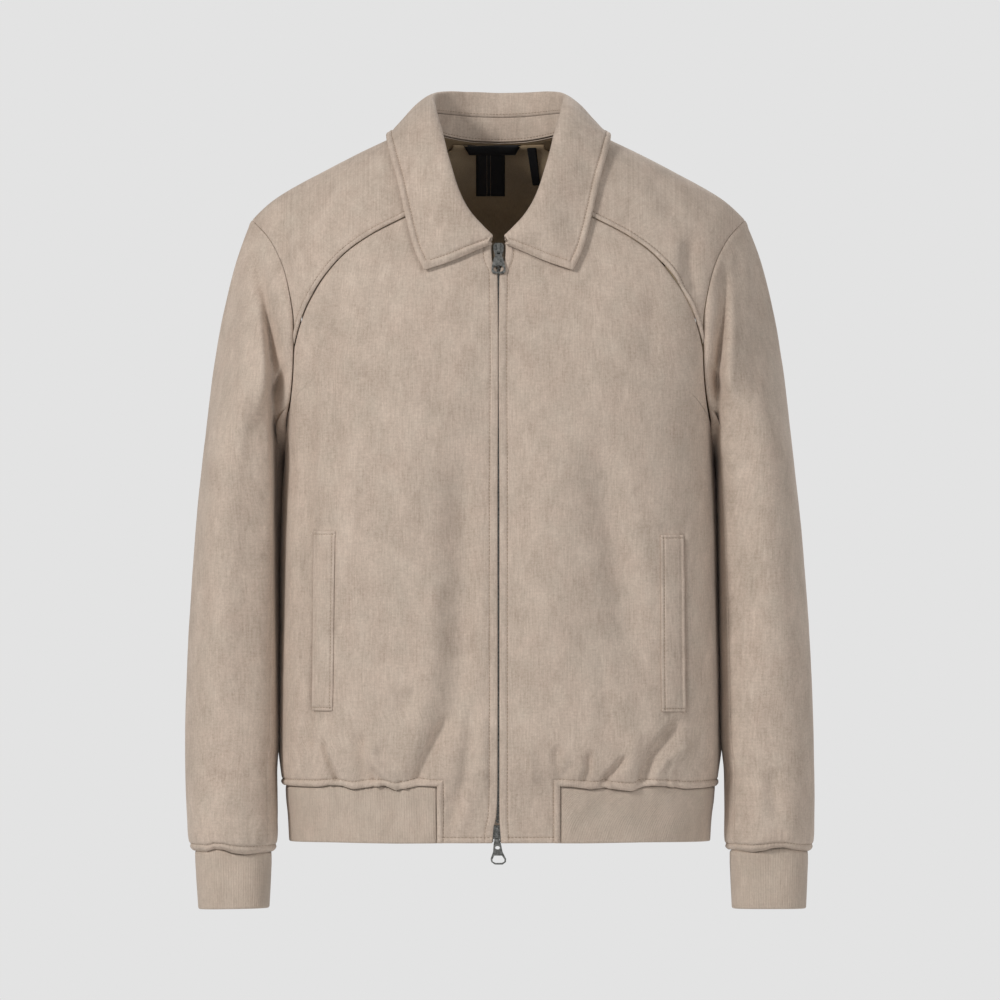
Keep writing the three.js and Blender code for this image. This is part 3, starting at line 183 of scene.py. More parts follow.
def stroke(x, z, pts, deep, wide, wide2=None, ends=(0, 0), mm=False):
    """A soft trough (deep < 0) or ridge drawn along a line of picture points. wide is to the left of its direction, wide2 to the right."""
    pts = pts if mm else [at_px(*p) for p in pts]
    wide2 = wide if wide2 is None else wide2
    best, run, side, total = np.full(x.shape, 1e9), np.zeros(x.shape), np.ones(x.shape), 0.0
    for (ax, az), (bx, bz) in zip(pts, pts[1:]):
        dx, dz = bx - ax, bz - az
        length = math.hypot(dx, dz)
        t = np.clip(((x - ax) * dx + (z - az) * dz) / length ** 2, 0, 1)
        ex, ez = x - ax - t * dx, z - az - t * dz
        d = np.hypot(ex, ez)
        m = d < best
        best, run, side = np.where(m, d, best), np.where(m, total + t * length, run), np.where(m, np.sign(dx * ez - dz * ex), side)
        total += length
    u = run / total
    size = np.where(u < 0.25, mix(ends[0], 1, smooth(u / 0.25)), 1) * np.where(u > 0.72, mix(ends[1], 1, smooth((1 - u) / 0.28)), 1)
    w = np.where(side > 0, wide, wide2)
    return deep * size * np.exp(-((best / w) ** 2))


# ------------------------------------------------------------------ the body surface
def drop(w):
    return np.where(w <= 1, 1 - np.cos(np.pi * np.minimum(w, 1) / 2), 1 + (w - 1) * np.pi / 2)


def height_at(x, w):
    x = np.abs(x)
    return mix(shoulder_at(x, "z"), soft_at(x, "z"), smooth(w / 0.75)) - DOME * drop(w)


def depth_inverse(x, z):
    x, z = np.broadcast_arrays(np.asarray(x, float), np.asarray(z, float))
    low, high = np.zeros(x.shape), np.full(x.shape, 6.0)
    for _ in range(30):
        m = (low + high) / 2
        above = height_at(x, m) > z
        low, high = np.where(above, m, low), np.where(above, high, m)
    return (low + high) / 2


def power(face):
    return FRONT_BULGE if face < 0 else BACK_BULGE


def plain_body(face, phi, w):
    n = power(face)
    s = np.sign(np.sin(phi)) * np.abs(np.sin(phi)) ** (2 / n)
    c = np.abs(np.cos(phi)) ** (2 / n)
    z = -DOME * drop(w)
    for _ in range(12):
        x = body_at(z, "shift") + body_at(z, "half") * s
        z = height_at(x, w)
    deep = np.where(w <= 1, np.sin(np.pi * np.minimum(w, 1) / 2), 1)
    return vec(x, face * body_at(z, "front" if face < 0 else "back") * deep * c, z)


def body_normal(face, phi, w):
    limit = math.pi / 2 - 0.004
    a, b = np.clip(phi, -limit, limit), np.maximum(w, 0.004)
    u = plain_body(face, a + 0.003, b) - plain_body(face, a - 0.003, b)
    v = plain_body(face, a, b + 0.003) - plain_body(face, a, b - 0.003)
    n = unit(np.cross(u, v))
    n = np.where((n[..., 1] * face < 0)[..., None], -n, n)
    k = (smooth((np.abs(phi) - 1.35) / 0.2) * (w > 1))[..., None]
    n = unit(mix(n, vec(np.sign(phi), 0, 0), k))
    flat = w < 0.02
    n[..., 1] = np.where(flat, 0, n[..., 1])
    n = unit(n)
    return np.where(((n[..., 2] < 0) & (w < 0.3))[..., None], -n, n)


def fold_depth(face, x, z):
    total = 0.0
    for f in BODY_FOLD:
        if f["face"] == face:
            across, up = (x - f["x"] - f["lean"] * (z - f["z"])) / f["wide"], (z - f["z"]) / f["tall"]
            total = total + f["deep"] * np.exp(-across ** 2) * np.where(np.abs(up) < 1, (1 - up ** 2) ** 2, 0)
    return total


def on_body(face, phi, w):
    phi, w = np.broadcast_arrays(np.asarray(phi, float), np.asarray(w, float))
    p, n = plain_body(face, phi, w), body_normal(face, phi, w)
    return p + n * fold_depth(face, p[..., 0], p[..., 2])[..., None], n


def body_param(face, x, z):
    s = np.clip((x - body_at(z, "shift")) / body_at(z, "half"), -1, 1)
    return np.sign(s) * np.arcsin(np.abs(s) ** (power(face) / 2)), depth_inverse(x, z)


def level_param(face, phi, z):
    n = power(face)
    s = np.sign(np.sin(phi)) * np.abs(np.sin(phi)) ** (2 / n)
    return depth_inverse(body_at(z, "shift") + body_at(z, "half") * s, z)


# ------------------------------------------------------------------ nets
PLAIN = [0, 0.2, 0.6, 1.1, 1.8, 2.7, 4.0, 5.8, 8.0]
SEWN = [0, 0.2, 0.5, 0.9, 1.4, 2.0, 2.8, 3.6, 4.4, 5.1, 5.7, 6.3, 7.0, 7.7, 8.4, 9.2, 10.3, 11.8, 13.6]


def graded(length, first, last, coarse):
    """Steps from 0 to 1 over a length in mm, fine at the ends as the two lists say."""
    a, b = first[-1], length - last[-1]
    count = max(2, int(round((b - a) / coarse)))
    marks = list(first[:-1]) + list(np.linspace(a, b, count + 1)) + [length - q for q in reversed(last[:-1])]
    return np.array(marks) / length


def run_of(p, axis):
    """Distance run along a net's lines."""
    d = np.linalg.norm(np.diff(p, axis=axis), axis=-1)
    zero = np.zeros_like(np.take(d, [0], axis=axis))
    return np.concatenate([zero, np.cumsum(d, axis=axis)], axis=axis)


def even_out(surface, us, vs, oversample):
    """For every row v, moves the column marks us (0 to 1, shares of length) to real lengths. surface(u, v) gives points."""
    fine = oversample
    U, V = np.meshgrid(fine, vs)
    s = run_of(surface(U, V), 1)
    out = np.empty((len(vs), len(us)))
    for j in range(len(vs)):
        out[j] = np.interp(us * s[j, -1], s[j], fine)
    return out


def grid_normals(p, wrap=False):
    if wrap:
        q = np.concatenate([p[:, -2:-1], p, p[:, 1:2]], 1)
        du = (q[:, 2:] - q[:, :-2])
    else:
        du = np.gradient(p, axis=1)
    dv = np.gradient(p, axis=0)
    return unit(np.cross(du, dv))


def nearest(p, line):
    """Distance from every point to the nearest of a dense line of points."""
    flat, out = p.reshape(-1, 3).astype(np.float32), []
    line = np.asarray(line, np.float32)
    l2 = (line ** 2).sum(1)
    for i in range(0, len(flat), 6000):
        q = flat[i:i + 6000]
        d2 = (q ** 2).sum(1)[:, None] + l2[None] - 2 * q @ line.T
        out.append(np.sqrt(np.maximum(d2.min(1), 0)))
    return np.concatenate(out).reshape(p.shape[:-1]).astype(float)


def dense(line, step=0.5):
    line = np.asarray(line, float)
    s = np.concatenate([[0], np.cumsum(np.linalg.norm(np.diff(line, axis=0), axis=1))])
    t = np.linspace(0, s[-1], max(2, int(s[-1] / step)))
    return np.stack([np.interp(t, s, line[:, k]) for k in range(3)], 1)


def rolled(d, radius, depth):
    """The way a seamed edge turns down into its seam."""
    t = np.clip((radius - d) / radius, 0, 1)
    return -depth * (1 - np.sqrt(np.maximum(1 - t ** 2, 0)))


def groove(d, at, deep=0.42, wide=0.95):
    return -deep * np.exp(-(((d - at) / wide) ** 2))


def hollow(d, reach=2):
    """How much deeper the cloth gets close by: the inner wall is laid that much lower."""
    low, pad = d.copy(), np.pad(d, reach, mode="edge")
    for i in range(2 * reach + 1):
        for j in range(2 * reach + 1):
            low = np.minimum(low, pad[i:i + d.shape[0], j:j + d.shape[1]])
    return d - low


def puff(d, at, high=0.35):
    """The slight swelling between an edge and its topstitch."""
    return high * np.where((d > 0) & (d < at), np.sin(np.pi * np.clip(d / at, 0, 1)), 0)


def fold_wall(d, thick, radius=None):
    """Thickness of a wall whose edge is folded round."""
    radius = thick * 0.75 if radius is None else radius
    t = np.clip((radius - d) / radius, 0, 1)
    return thick * np.sqrt(np.maximum(1 - t ** 2, 0.004))


# ------------------------------------------------------------------ making objects
AREAS = {}


def new_object(name, verts, faces, mats, face_mats=None, cloth=None, smooth_faces=True):
    mesh = bpy.data.meshes.new(name)
    mesh.from_pydata((np.asarray(verts) / 1000).tolist(), [], faces)
    for m in mats:
        mesh.materials.append(m)
    if face_mats is not None:
        mesh.polygons.foreach_set("material_index", np.asarray(face_mats, np.int32))
    mesh.polygons.foreach_set("use_smooth", np.full(len(mesh.polygons), smooth_faces))
    if cloth is not None:
        a = mesh.attributes.new("cloth", "FLOAT_VECTOR", "POINT")
        a.data.foreach_set("vector", np.asarray(cloth, np.float32).ravel())
    mesh.update()
    ob = bpy.data.objects.new(name, mesh)
    scene.collection.objects.link(ob)
    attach(ob, "jacket")
    return ob


def shell(name, P, N, thick, mats, valid=None, keep_rows=(), keep_cols=(), wrap=False, step=2, cloth=None):
    """A closed thin wall: P are the outer points, N the outward normals, thick the wall at each point."""
    R, C = P.shape[:2]
    vid = np.arange(R * C).reshape(R, C)
    if wrap:
        vid[:, -1] = vid[:, 0]
    V = np.ones((R - 1, C - 1), bool) if valid is None else valid
    du, dv = P[:, 1:] - P[:, :-1], P[1:] - P[:-1]
    facing = dot(np.cross(du[:-1], dv[:, :-1]), N[:-1, :-1])[V]
    flip = np.median(facing) < 0
    r, c = np.nonzero(V)
    quads = np.stack([vid[r, c], vid[r, c + 1], vid[r + 1, c + 1], vid[r + 1, c]], 1)
    if flip:
        quads = quads[:, ::-1]
    faces = quads.tolist()
    mat = [0] * len(faces)
    ri = sorted(set(range(0, R, step)) | {R - 1} | set(keep_rows))
    ci = sorted(set(range(0, C, step)) | {C - 1} | set(keep_cols))
    inner_id, inner_pts, inner_cloth = {}, [], []
    Q = P - N * np.broadcast_to(thick, (R, C))[..., None]

    def inner(r, c):
        if wrap and c == C - 1:
            c = 0
        if (r, c) not in inner_id:
            inner_id[(r, c)] = R * C + len(inner_pts)
            inner_pts.append(Q[r, c])
            if cloth is not None:
                inner_cloth.append(cloth[r, c])
        return inner_id[(r, c)]

    edges = {}
    for a in range(len(ri) - 1):
        for b in range(len(ci) - 1):
            if not V[ri[a]:ri[a + 1], ci[b]:ci[b + 1]].all():
                continue
            q = [(ri[a], ci[b]), (ri[a], ci[b + 1]), (ri[a + 1], ci[b + 1]), (ri[a + 1], ci[b])]
            if flip:
                q = q[::-1]
            faces.append([inner(*k) for k in reversed(q)])
            mat.append(1)
            for k in range(4):
                p, s = q[k], q[(k + 1) % 4]
                key, back = (vid[p], vid[s]), (vid[s], vid[p])
                if back in edges:
                    del edges[back]
                else:
                    edges[key] = (p, s)
    for p, s in edges.values():
        if p[0] == s[0]:
            step_ = 1 if s[1] > p[1] else -1
            line = [(p[0], k) for k in range(p[1], s[1] + step_, step_)]
        else:
            step_ = 1 if s[0] > p[0] else -1
            line = [(k, p[1]) for k in range(p[0], s[0] + step_, step_)]
        faces.append([int(vid[k]) for k in reversed(line)] + [inner(*p), inner(*s)])
        mat.append(0)
    verts = np.concatenate([P.reshape(-1, 3), np.array(inner_pts).reshape(-1, 3)])
    attr = None if cloth is None else np.concatenate([cloth.reshape(-1, 3), np.array(inner_cloth).reshape(-1, 3)])
    used = np.unique(np.concatenate([np.asarray(f, int) for f in faces]))
    back = np.full(len(verts), -1)
    back[used] = np.arange(len(used))
    faces = [[int(back[k]) for k in f] for f in faces]
    ob = new_object(name, verts[used], faces, mats, mat, None if attr is None else attr[used])
    AREAS[name] = sum(f.area for f in ob.data.polygons) / 2
    return ob


def arc(P):
    """Lengths across and down a net, for the grain of the cloth."""
    mid = P.shape[1] // 2
    across = run_of(P, 1)
    return vec(across - across[:, mid:mid + 1], -P[..., 2], np.zeros(P.shape[:2]))


STITCHES = {}


def stitches(group, line, normals, pitch=3.3, size=2.3, radius=0.33, lift=0.12):
    """Thread lying along a line on a piece: one small rounded bar for each stitch."""
    line, normals = np.asarray(line, float), np.asarray(normals, float)
    s = np.concatenate([[0], np.cumsum(np.linalg.norm(np.diff(line, axis=0), axis=1))])
    if s[-1] < pitch:
        return
    count = int(s[-1] / pitch)
    mids = (np.arange(count) + 0.5) * s[-1] / count
    read = lambda a, t: np.stack([np.interp(t, s, a[:, k]) for k in range(3)], -1)
    n = unit(read(normals, mids))
    a, b = read(line, mids - size / 2), read(line, mids + size / 2)
    d = unit(b - a)
    side = unit(np.cross(d, n))
    ring = np.linspace(0, 2 * np.pi, 6)[:-1]
    stations = [(0.0, 0.35, -0.3), (0.16, 0.95, 0.05), (0.84, 0.95, 0.05), (1.0, 0.35, -0.3)]
    verts, faces = STITCHES.setdefault(group, ([], []))
    base = len(verts) and sum(len(v) for v in verts)
    block = []
    for t, r, up in stations:
        mid = mix(a, b, t) + n * (lift + up * radius)
        for g in ring:
            block.append(mid + side * (math.cos(g) * r * radius) + n * (math.sin(g) * r * radius * 0.8))
    block = np.stack(block, 1)  # stitch, point, xyz
    per = block.shape[1]
    for k in range(count):
        o = base + k * per
        for q in range(3):
            for i in range(5):
                j = (i + 1) % 5
                faces.append([o + q * 5 + i, o + q * 5 + j, o + q * 5 + 5 + j, o + q * 5 + 5 + i])
        faces.append([o + i for i in reversed(range(5))])
        faces.append([o + 15 + i for i in range(5)])
    verts.append(block.reshape(-1, 3))


def iso(P, N, D, value, axis, first=True, cols=None):
    """The line on a net where D passes value, looked for along an axis from its start (first) or its end."""
    line, normals = [], []
    count = P.shape[1 - axis]
    for k in range(count) if cols is None else cols:
        p, n, d = (P[:, k], N[:, k], D[:, k]) if axis == 0 else (P[k], N[k], D[k])
        if not first:
            p, n, d = p[::-1], n[::-1], d[::-1]
        hit = np.nonzero((d[:-1] <= value) & (d[1:] > value))[0]
        if len(hit):
            i = hit[0]
            t = (value - d[i]) / (d[i + 1] - d[i])
            line.append(mix(p[i], p[i + 1], t))
            normals.append(mix(n[i], n[i + 1], t))
    return np.array(line), np.array(normals)


# ------------------------------------------------------------------ materials
def srgb(r, g, b):
    return tuple((c / 255 / 12.92) if c / 255 <= 0.04045 else ((c / 255 + 0.055) / 1.055) ** 2.4 for c in (r, g, b)) + (1.0,)


class Nodes:
    def __init__(self, name):
        self.mat = bpy.data.materials.new(name)
        self.mat.use_nodes = True
        self.t = self.mat.node_tree
        self.bsdf = self.t.nodes["Principled BSDF"]

    def add(self, kind, **values):
        n = self.t.nodes.new(kind)
        for k, v in values.items():
            setattr(n, k, v)
        return n

    def link(self, a, b):
        self.t.links.new(a, b)

    def noise(self, coords, scale, detail=2.0, rough=0.5, distortion=0.0):
        n = self.add("ShaderNodeTexNoise")
        n.inputs["Scale"].default_value = scale
        n.inputs["Detail"].default_value = detail
        n.inputs["Roughness"].default_value = rough
        n.inputs["Distortion"].default_value = distortion
        self.link(coords, n.inputs["Vector"])
        return n.outputs["Fac"]

    def stretch(self, coords, x, y, z):
        n = self.add("ShaderNodeMapping")
        n.inputs["Scale"].default_value = (x, y, z)
        self.link(coords, n.inputs["Vector"])
        return n.outputs["Vector"]

    def math(self, op, a, b=None, c=None):
        n = self.add("ShaderNodeMath", operation=op)
        for i, v in enumerate((a, b, c)):
            if v is None:
                continue
            if isinstance(v, (int, float)):
                n.inputs[i].default_value = v
            else:
                self.link(v, n.inputs[i])
        return n.outputs[0]

    def ramp(self, fac, stops):
        n = self.add("ShaderNodeValToRGB")
        e = n.color_ramp.elements
        while len(e) < len(stops):
            e.new(0.5)
        for k, (at, colour) in enumerate(stops):
            e[k].position = at
            e[k].color = colour
        self.link(fac, n.inputs["Fac"])
        return n.outputs["Color"]

    def blend(self, fac, a, b, kind="MIX"):
        n = self.add("ShaderNodeMix", data_type="RGBA", blend_type=kind)
        for socket, v in ((n.inputs["Factor"], fac), (n.inputs[6], a), (n.inputs[7], b)):
            if isinstance(v, (int, float)):
                socket.default_value = v
            elif isinstance(v, tuple):
                socket.default_value = v
            else:
                self.link(v, socket)
        return n.outputs[2]

    def bump(self, height, strength, distance):
        n = self.add("ShaderNodeBump")
        n.inputs["Strength"].default_value = strength
        n.inputs["Distance"].default_value = distance
        self.link(height, n.inputs["Height"])
        self.link(n.outputs["Normal"], self.bsdf.inputs["Normal"])


def suede(name, dark, light, cool, ribs=False):
    m = Nodes(name)
    pos = m.add("ShaderNodeTexCoord").outputs["Object"]
    attr = m.add("ShaderNodeAttribute", attribute_name="cloth").outputs["Vector"]
    clouds = m.noise(pos, 16, 3, 0.55)
    blotch = m.noise(m.stretch(pos, 1, 1, 0.55), 62, 3, 0.6, 0.4)
    streak = m.noise(m.stretch(attr, 1, 0.07, 1), 0.75, 2, 0.6)
    weave = m.noise(m.stretch(attr, 0.12, 1, 1), 0.7, 2, 0.6)
    fine = m.noise(pos, 1500, 2, 0.6)
    speck = m.noise(pos, 430, 3, 0.7)
    grain = m.math("MULTIPLY_ADD", fine, 0.45, m.math("MULTIPLY", speck, 0.55))
    tone = m.math("ADD", m.math("MULTIPLY", clouds, 0.16), m.math("MULTIPLY", blotch, 0.26))
    tone = m.math("ADD", tone, m.math("MULTIPLY", streak, 0.26))
    tone = m.math("ADD", tone, m.math("MULTIPLY", weave, 0.12))
    tone = m.math("ADD", tone, m.math("MULTIPLY", grain, 0.50))
    base = m.ramp(m.math("MULTIPLY_ADD", m.math("SUBTRACT", tone, 0.65), 2.5, 0.5), [(0.0, dark), (1.0, light)])
    hue = m.noise(m.stretch(pos, 1, 1, 0.8), 40, 4, 0.65)
    base = m.blend(m.math("MULTIPLY_ADD", m.math("SUBTRACT", hue, 0.5), 2.2, 0.4), base, cool, "MULTIPLY")
    height = m.math("ADD", m.math("MULTIPLY", streak, 0.35), m.math("MULTIPLY", grain, 1.0))
    height = m.math("ADD", height, m.math("MULTIPLY", blotch, 0.35))
    if ribs:
        across = m.add("ShaderNodeSeparateXYZ")
        m.link(attr, across.inputs[0])
        rib = m.math("MULTIPLY_ADD", m.math("SINE", m.math("MULTIPLY", across.outputs[0], 2 * math.pi / 2.3)), 0.5, 0.5)
        # painted shade: the colour is darkened along the troughs of the knit ribs, where shade falls, matching the bump
        # that shapes them
        base = m.blend(m.math("MULTIPLY_ADD", rib, -0.10, 0.10), base, (0.45, 0.4, 0.36, 1.0), "MULTIPLY")
        height = m.math("ADD", m.math("MULTIPLY", height, 0.5), m.math("MULTIPLY", rib, 0.9))
    m.link(base, m.bsdf.inputs["Base Color"])
    m.bsdf.inputs["Roughness"].default_value = 0.92
    m.bsdf.inputs["Specular IOR Level"].default_value = 0.18
    m.bsdf.inputs["Sheen Weight"].default_value = 0.22
    m.bsdf.inputs["Sheen Roughness"].default_value = 0.55
    m.bsdf.inputs["Sheen Tint"].default_value = (1.0, 0.93, 0.86, 1.0)
    m.bump(height, 0.42, 0.0005)
    return m.mat


def satin(name, dark, light, rough=0.48):
    m = Nodes(name)
    pos = m.add("ShaderNodeTexCoord").outputs["Object"]
    twill = m.noise(m.stretch(pos, 1, 1, 0.25), 900, 2, 0.5)
    clouds = m.noise(pos, 30, 3, 0.5)
    tone = m.math("ADD", m.math("MULTIPLY", clouds, 0.6), m.math("MULTIPLY", twill, 0.4))
    m.link(m.ramp(tone, [(0.3, dark), (0.7, light)]), m.bsdf.inputs["Base Color"])
    m.bsdf.inputs["Roughness"].default_value = rough
    m.bsdf.inputs["Specular IOR Level"].default_value = 0.35
    m.bump(m.math("ADD", twill, m.math("MULTIPLY", clouds, 1.5)), 0.3, 0.0003)
    return m.mat


def metal(name, dark, light, rough):
    m = Nodes(name)
    pos = m.add("ShaderNodeTexCoord").outputs["Object"]
    wear = m.noise(pos, 420, 4, 0.6)
    fine = m.noise(pos, 2600, 2, 0.5)
    m.link(m.ramp(wear, [(0.35, dark), (0.68, light)]), m.bsdf.inputs["Base Color"])
    m.bsdf.inputs["Metallic"].default_value = 1.0
    m.link(m.math("MULTIPLY_ADD", wear, 0.22, rough), m.bsdf.inputs["Roughness"])
    m.bump(m.math("ADD", wear, m.math("MULTIPLY", fine, 0.5)), 0.2, 0.00015)
    return m.mat


COOL = (0.92, 0.955, 0.955, 1.0)
SUEDE = suede("suede", srgb(160, 142, 128), srgb(219, 201, 186), COOL)
BAND = suede("band_knit", srgb(170, 153, 139), srgb(211, 194, 179), COOL, ribs=True)
# painted light: the lining is coloured much lighter than its own dark olive brown, standing in for light falling into
# the neck opening; the same colour serves the inner faces of the panels
LINING = satin("lining", srgb(156, 136, 110), srgb(186, 165, 135))
LABEL = satin("label_cloth", srgb(24, 25, 29), srgb(38, 39, 44), 0.7)
TAPE = satin("zip_tape", srgb(104, 92, 78), srgb(132, 118, 102), 0.85)
THREAD = satin("thread", srgb(146, 128, 111), srgb(172, 154, 136), 0.7)
METAL = metal("gunmetal", (0.16, 0.165, 0.16, 1.0), (0.42, 0.425, 0.41, 1.0), 0.24)

# ------------------------------------------------------------------ relief placed along listed lines
# every entry: points in the picture, depth, width left and right of the line, how much of it is left at its ends
FRONT_STROKES = [
    ([(545, 420), (540, 560), (545, 700)], 1.3, 22, 22, (0, 0)),
    # wearer's right front
    ([(462, 420), (462, 520), (464, 590), (464, 650), (455, 705), (438, 742), (419, 778)], -3.0, 13, 17, (0, 0.8)),
    ([(452, 708), (443, 722), (433, 741), (423, 762), (416, 780)], -1.9, 7, 4, (0.1, 0.8)),
    ([(471, 690), (470, 731), (465, 778), (452, 828)], -1.7, 7, 6, (0, 0.5)),
    ([(484, 700), (483, 760), (484, 800)], 0.9, 5, 5, (0, 0)),
    ([(311, 296), (308, 400), (305, 520), (305, 640), (308, 712)], -2.6, 10, 8, (0.2, 0.5)),
    ([(350, 430), (348, 560), (352, 690)], 1.0, 18, 16, (0, 0)),
    ([(432, 560), (436, 640), (430, 700), (412, 745), (398, 776)], 1.8, 14, 14, (0, 0.4)),
    ([(334, 292), (333, 380), (336, 470), (338, 520)], -1.5, 13, 13, (0, 0)),
    ([(404, 300), (400, 400), (404, 500), (396, 600)], 1.2, 22, 22, (0, 0)),
    ([(365, 728), (361, 746), (361, 757), (365, 768), (373, 780)], -2.6, 3.0, 9, (0, 0.9)),
    ([(372, 766), (377, 774), (381, 782)], -1.6, 1.8, 2.8, (0.2, 0.9)),
    ([(375, 742), (372, 756), (379, 768)], 1.5, 4.5, 4, (0, 0.3)),
    ([(378, 735), (372, 752), (381, 768), (392, 778)], 1.4, 6, 5, (0, 0.5)),
    ([(318, 736), (324, 748), (331, 764), (336, 780)], -2.3, 2.4, 3.4, (0, 0.9)),
    ([(324, 740), (333, 760), (341, 778)], 1.1, 3, 3, (0, 0.5)),
    ([(328, 738), (337, 758), (344, 776)], 0.9, 3.6, 3.6, (0, 0.4)),
    ([(308, 712), (306, 730), (311, 750)], -2.2, 4, 6, (0.3, 0)),
    ([(446, 792), (452, 812), (446, 832)], -1.1, 6, 7, (0, 0)),
    ([(462, 782), (466, 806), (456, 834)], 1.2, 7, 7, (0, 0)),
    ([(418, 812), (420, 828), (416, 840)], -0.8, 5, 6, (0, 0)),
    ([(393, 718), (404, 700), (424, 688)], -0.9, 6, 8, (0, 0)),
    # wearer's left front
    ([(598, 420), (606, 500), (616, 570), (628, 640), (642, 696)], -2.0, 17, 17, (0, 0)),
    ([(560, 430), (566, 560), (560, 690)], 1.1, 20, 20, (0, 0)),
    ([(632, 488), (642, 497), (654, 502)], -0.7, 5, 5, (0, 0)),
    ([(588, 750), (589, 766), (585, 780)], -2.0, 3.2, 3.6, (0, 0.8)),
    ([(558, 742), (556, 762), (561, 780)], -1.2, 5, 5, (0, 0.6)),
    ([(575, 760), (566, 772), (560, 782)], -0.9, 5, 4, (0, 0.4)),
    ([(628, 752), (615, 766), (606, 775), (601, 783)], -2.6, 5, 2.4, (0, 0.9)),
    ([(682, 714), (664, 736), (651, 752), (643, 772), (639, 784)], -3.7, 8.5, 3.6, (0.1, 0.8)),
    ([(674, 757), (667, 766), (660, 776)], -1.1, 3, 3, (0.1, 0.5)),
    ([(598, 640), (606, 700), (612, 745)], -0.8, 9, 9, (0, 0)),
    ([(694, 738), (676, 752), (662, 768), (654, 782)], 1.3, 6, 6, (0, 0.3)),
    ([(640, 726), (632, 750), (624, 776)], 1.2, 8, 8, (0, 0.2)),
    ([(704, 716), (700, 742), (694, 770)], -1.2, 6, 8, (0, 0.2)),
    ([(527, 740), (531, 764), (534, 788)], 0.9, 5, 5, (0, 0)),
    ([(665, 760), (671, 748), (686, 742)], -0.8, 4, 4, (0, 0)),
    # under the collar and yoke
    ([(336, 276), (342, 300), (338, 330)], -1.0, 9, 9, (0.3, 0)),
    ([(655, 285), (650, 330), (656, 380)], -0.8, 10, 10, (0.2, 0)),
    # pocket welts draw the cloth in at their ends
    ([(306, 522), (323, 527), (342, 521)], -0.7, 5, 5, (0, 0)),
    ([(655, 528), (672, 531), (692, 526)], -0.7, 5, 5, (0, 0)),
    ([(310, 716), (324, 718), (338, 716)], -0.6, 4, 5, (0, 0)),
    ([(656, 716), (672, 718), (684, 716)], -0.6, 4, 5, (0, 0)),
]
YOKE_STROKES = [
    ([(279, 221), (283, 245), (282, 268), (288, 290)], -1.9, 8, 8, (0.2, 0)),
    ([(297, 232), (302, 262), (300, 292)], 1.2, 9, 9, (0, 0)),
    ([(694, 231), (690, 258), (692, 284), (700, 300)], -2.0, 8, 8, (0.2, 0)),
    ([(676, 236), (672, 262), (676, 290)], 1.1, 9, 9, (0, 0)),
    ([(340, 170), (322, 195), (318, 226)], -0.9, 11, 11, (0, 0)),
    ([(652, 172), (668, 196), (672, 222)], -0.8, 11, 11, (0, 0)),
]
BACK_STROKES = [  # millimetres, seen from behind: x, z
    ([(-60, -130), (-72, -240), (-66, -360), (-84, -470), (-70, -590)], -2.6, 18, 15, (0, 0.6)),
    ([(66, -150), (78, -270), (66, -380), (88, -500), (74, -592)], -2.3, 16, 18, (0, 0.6)),
    ([(4, -200), (-6, -330), (8, -470)], 1.6, 24, 24, (0, 0)),
    ([(-150, -110), (-158, -190), (-148, -290)], -2.4, 11, 14, (0, 0)),
    ([(150, -116), (160, -200), (150, -300)], -2.6, 13, 11, (0, 0)),
    ([(-128, -160), (-134, -260), (-128, -380)], 1.4, 13, 13, (0, 0)),
    ([(130, -180), (134, -290), (126, -390)], 1.3, 13, 13, (0, 0)),
    ([(-120, -556), (-128, -580), (-124, -604)], -2.0, 5, 8, (0, 0.7)),
    ([(-40, -562), (-32, -584), (-38, -604)], -1.8, 7, 4.5, (0, 0.7)),
    ([(30, -570), (22, -588), (26, -605)], -1.5, 5, 5, (0, 0.7)),
    ([(112, -548), (104, -576), (112, -604)], -2.1, 8, 5, (0, 0.7)),
    ([(160, -566), (154, -584), (158, -604)], -1.4, 5, 5, (0, 0.6)),
    ([(-168, -560), (-160, -582), (-166, -604)], -1.3, 5, 6, (0, 0.6)),
    ([(-84, -566), (-92, -586), (-86, -605)], 1.2, 8, 8, (0, 0.3)),
    ([(66, -560), (72, -582), (66, -604)], 1.2, 8, 8, (0, 0.3)),
]
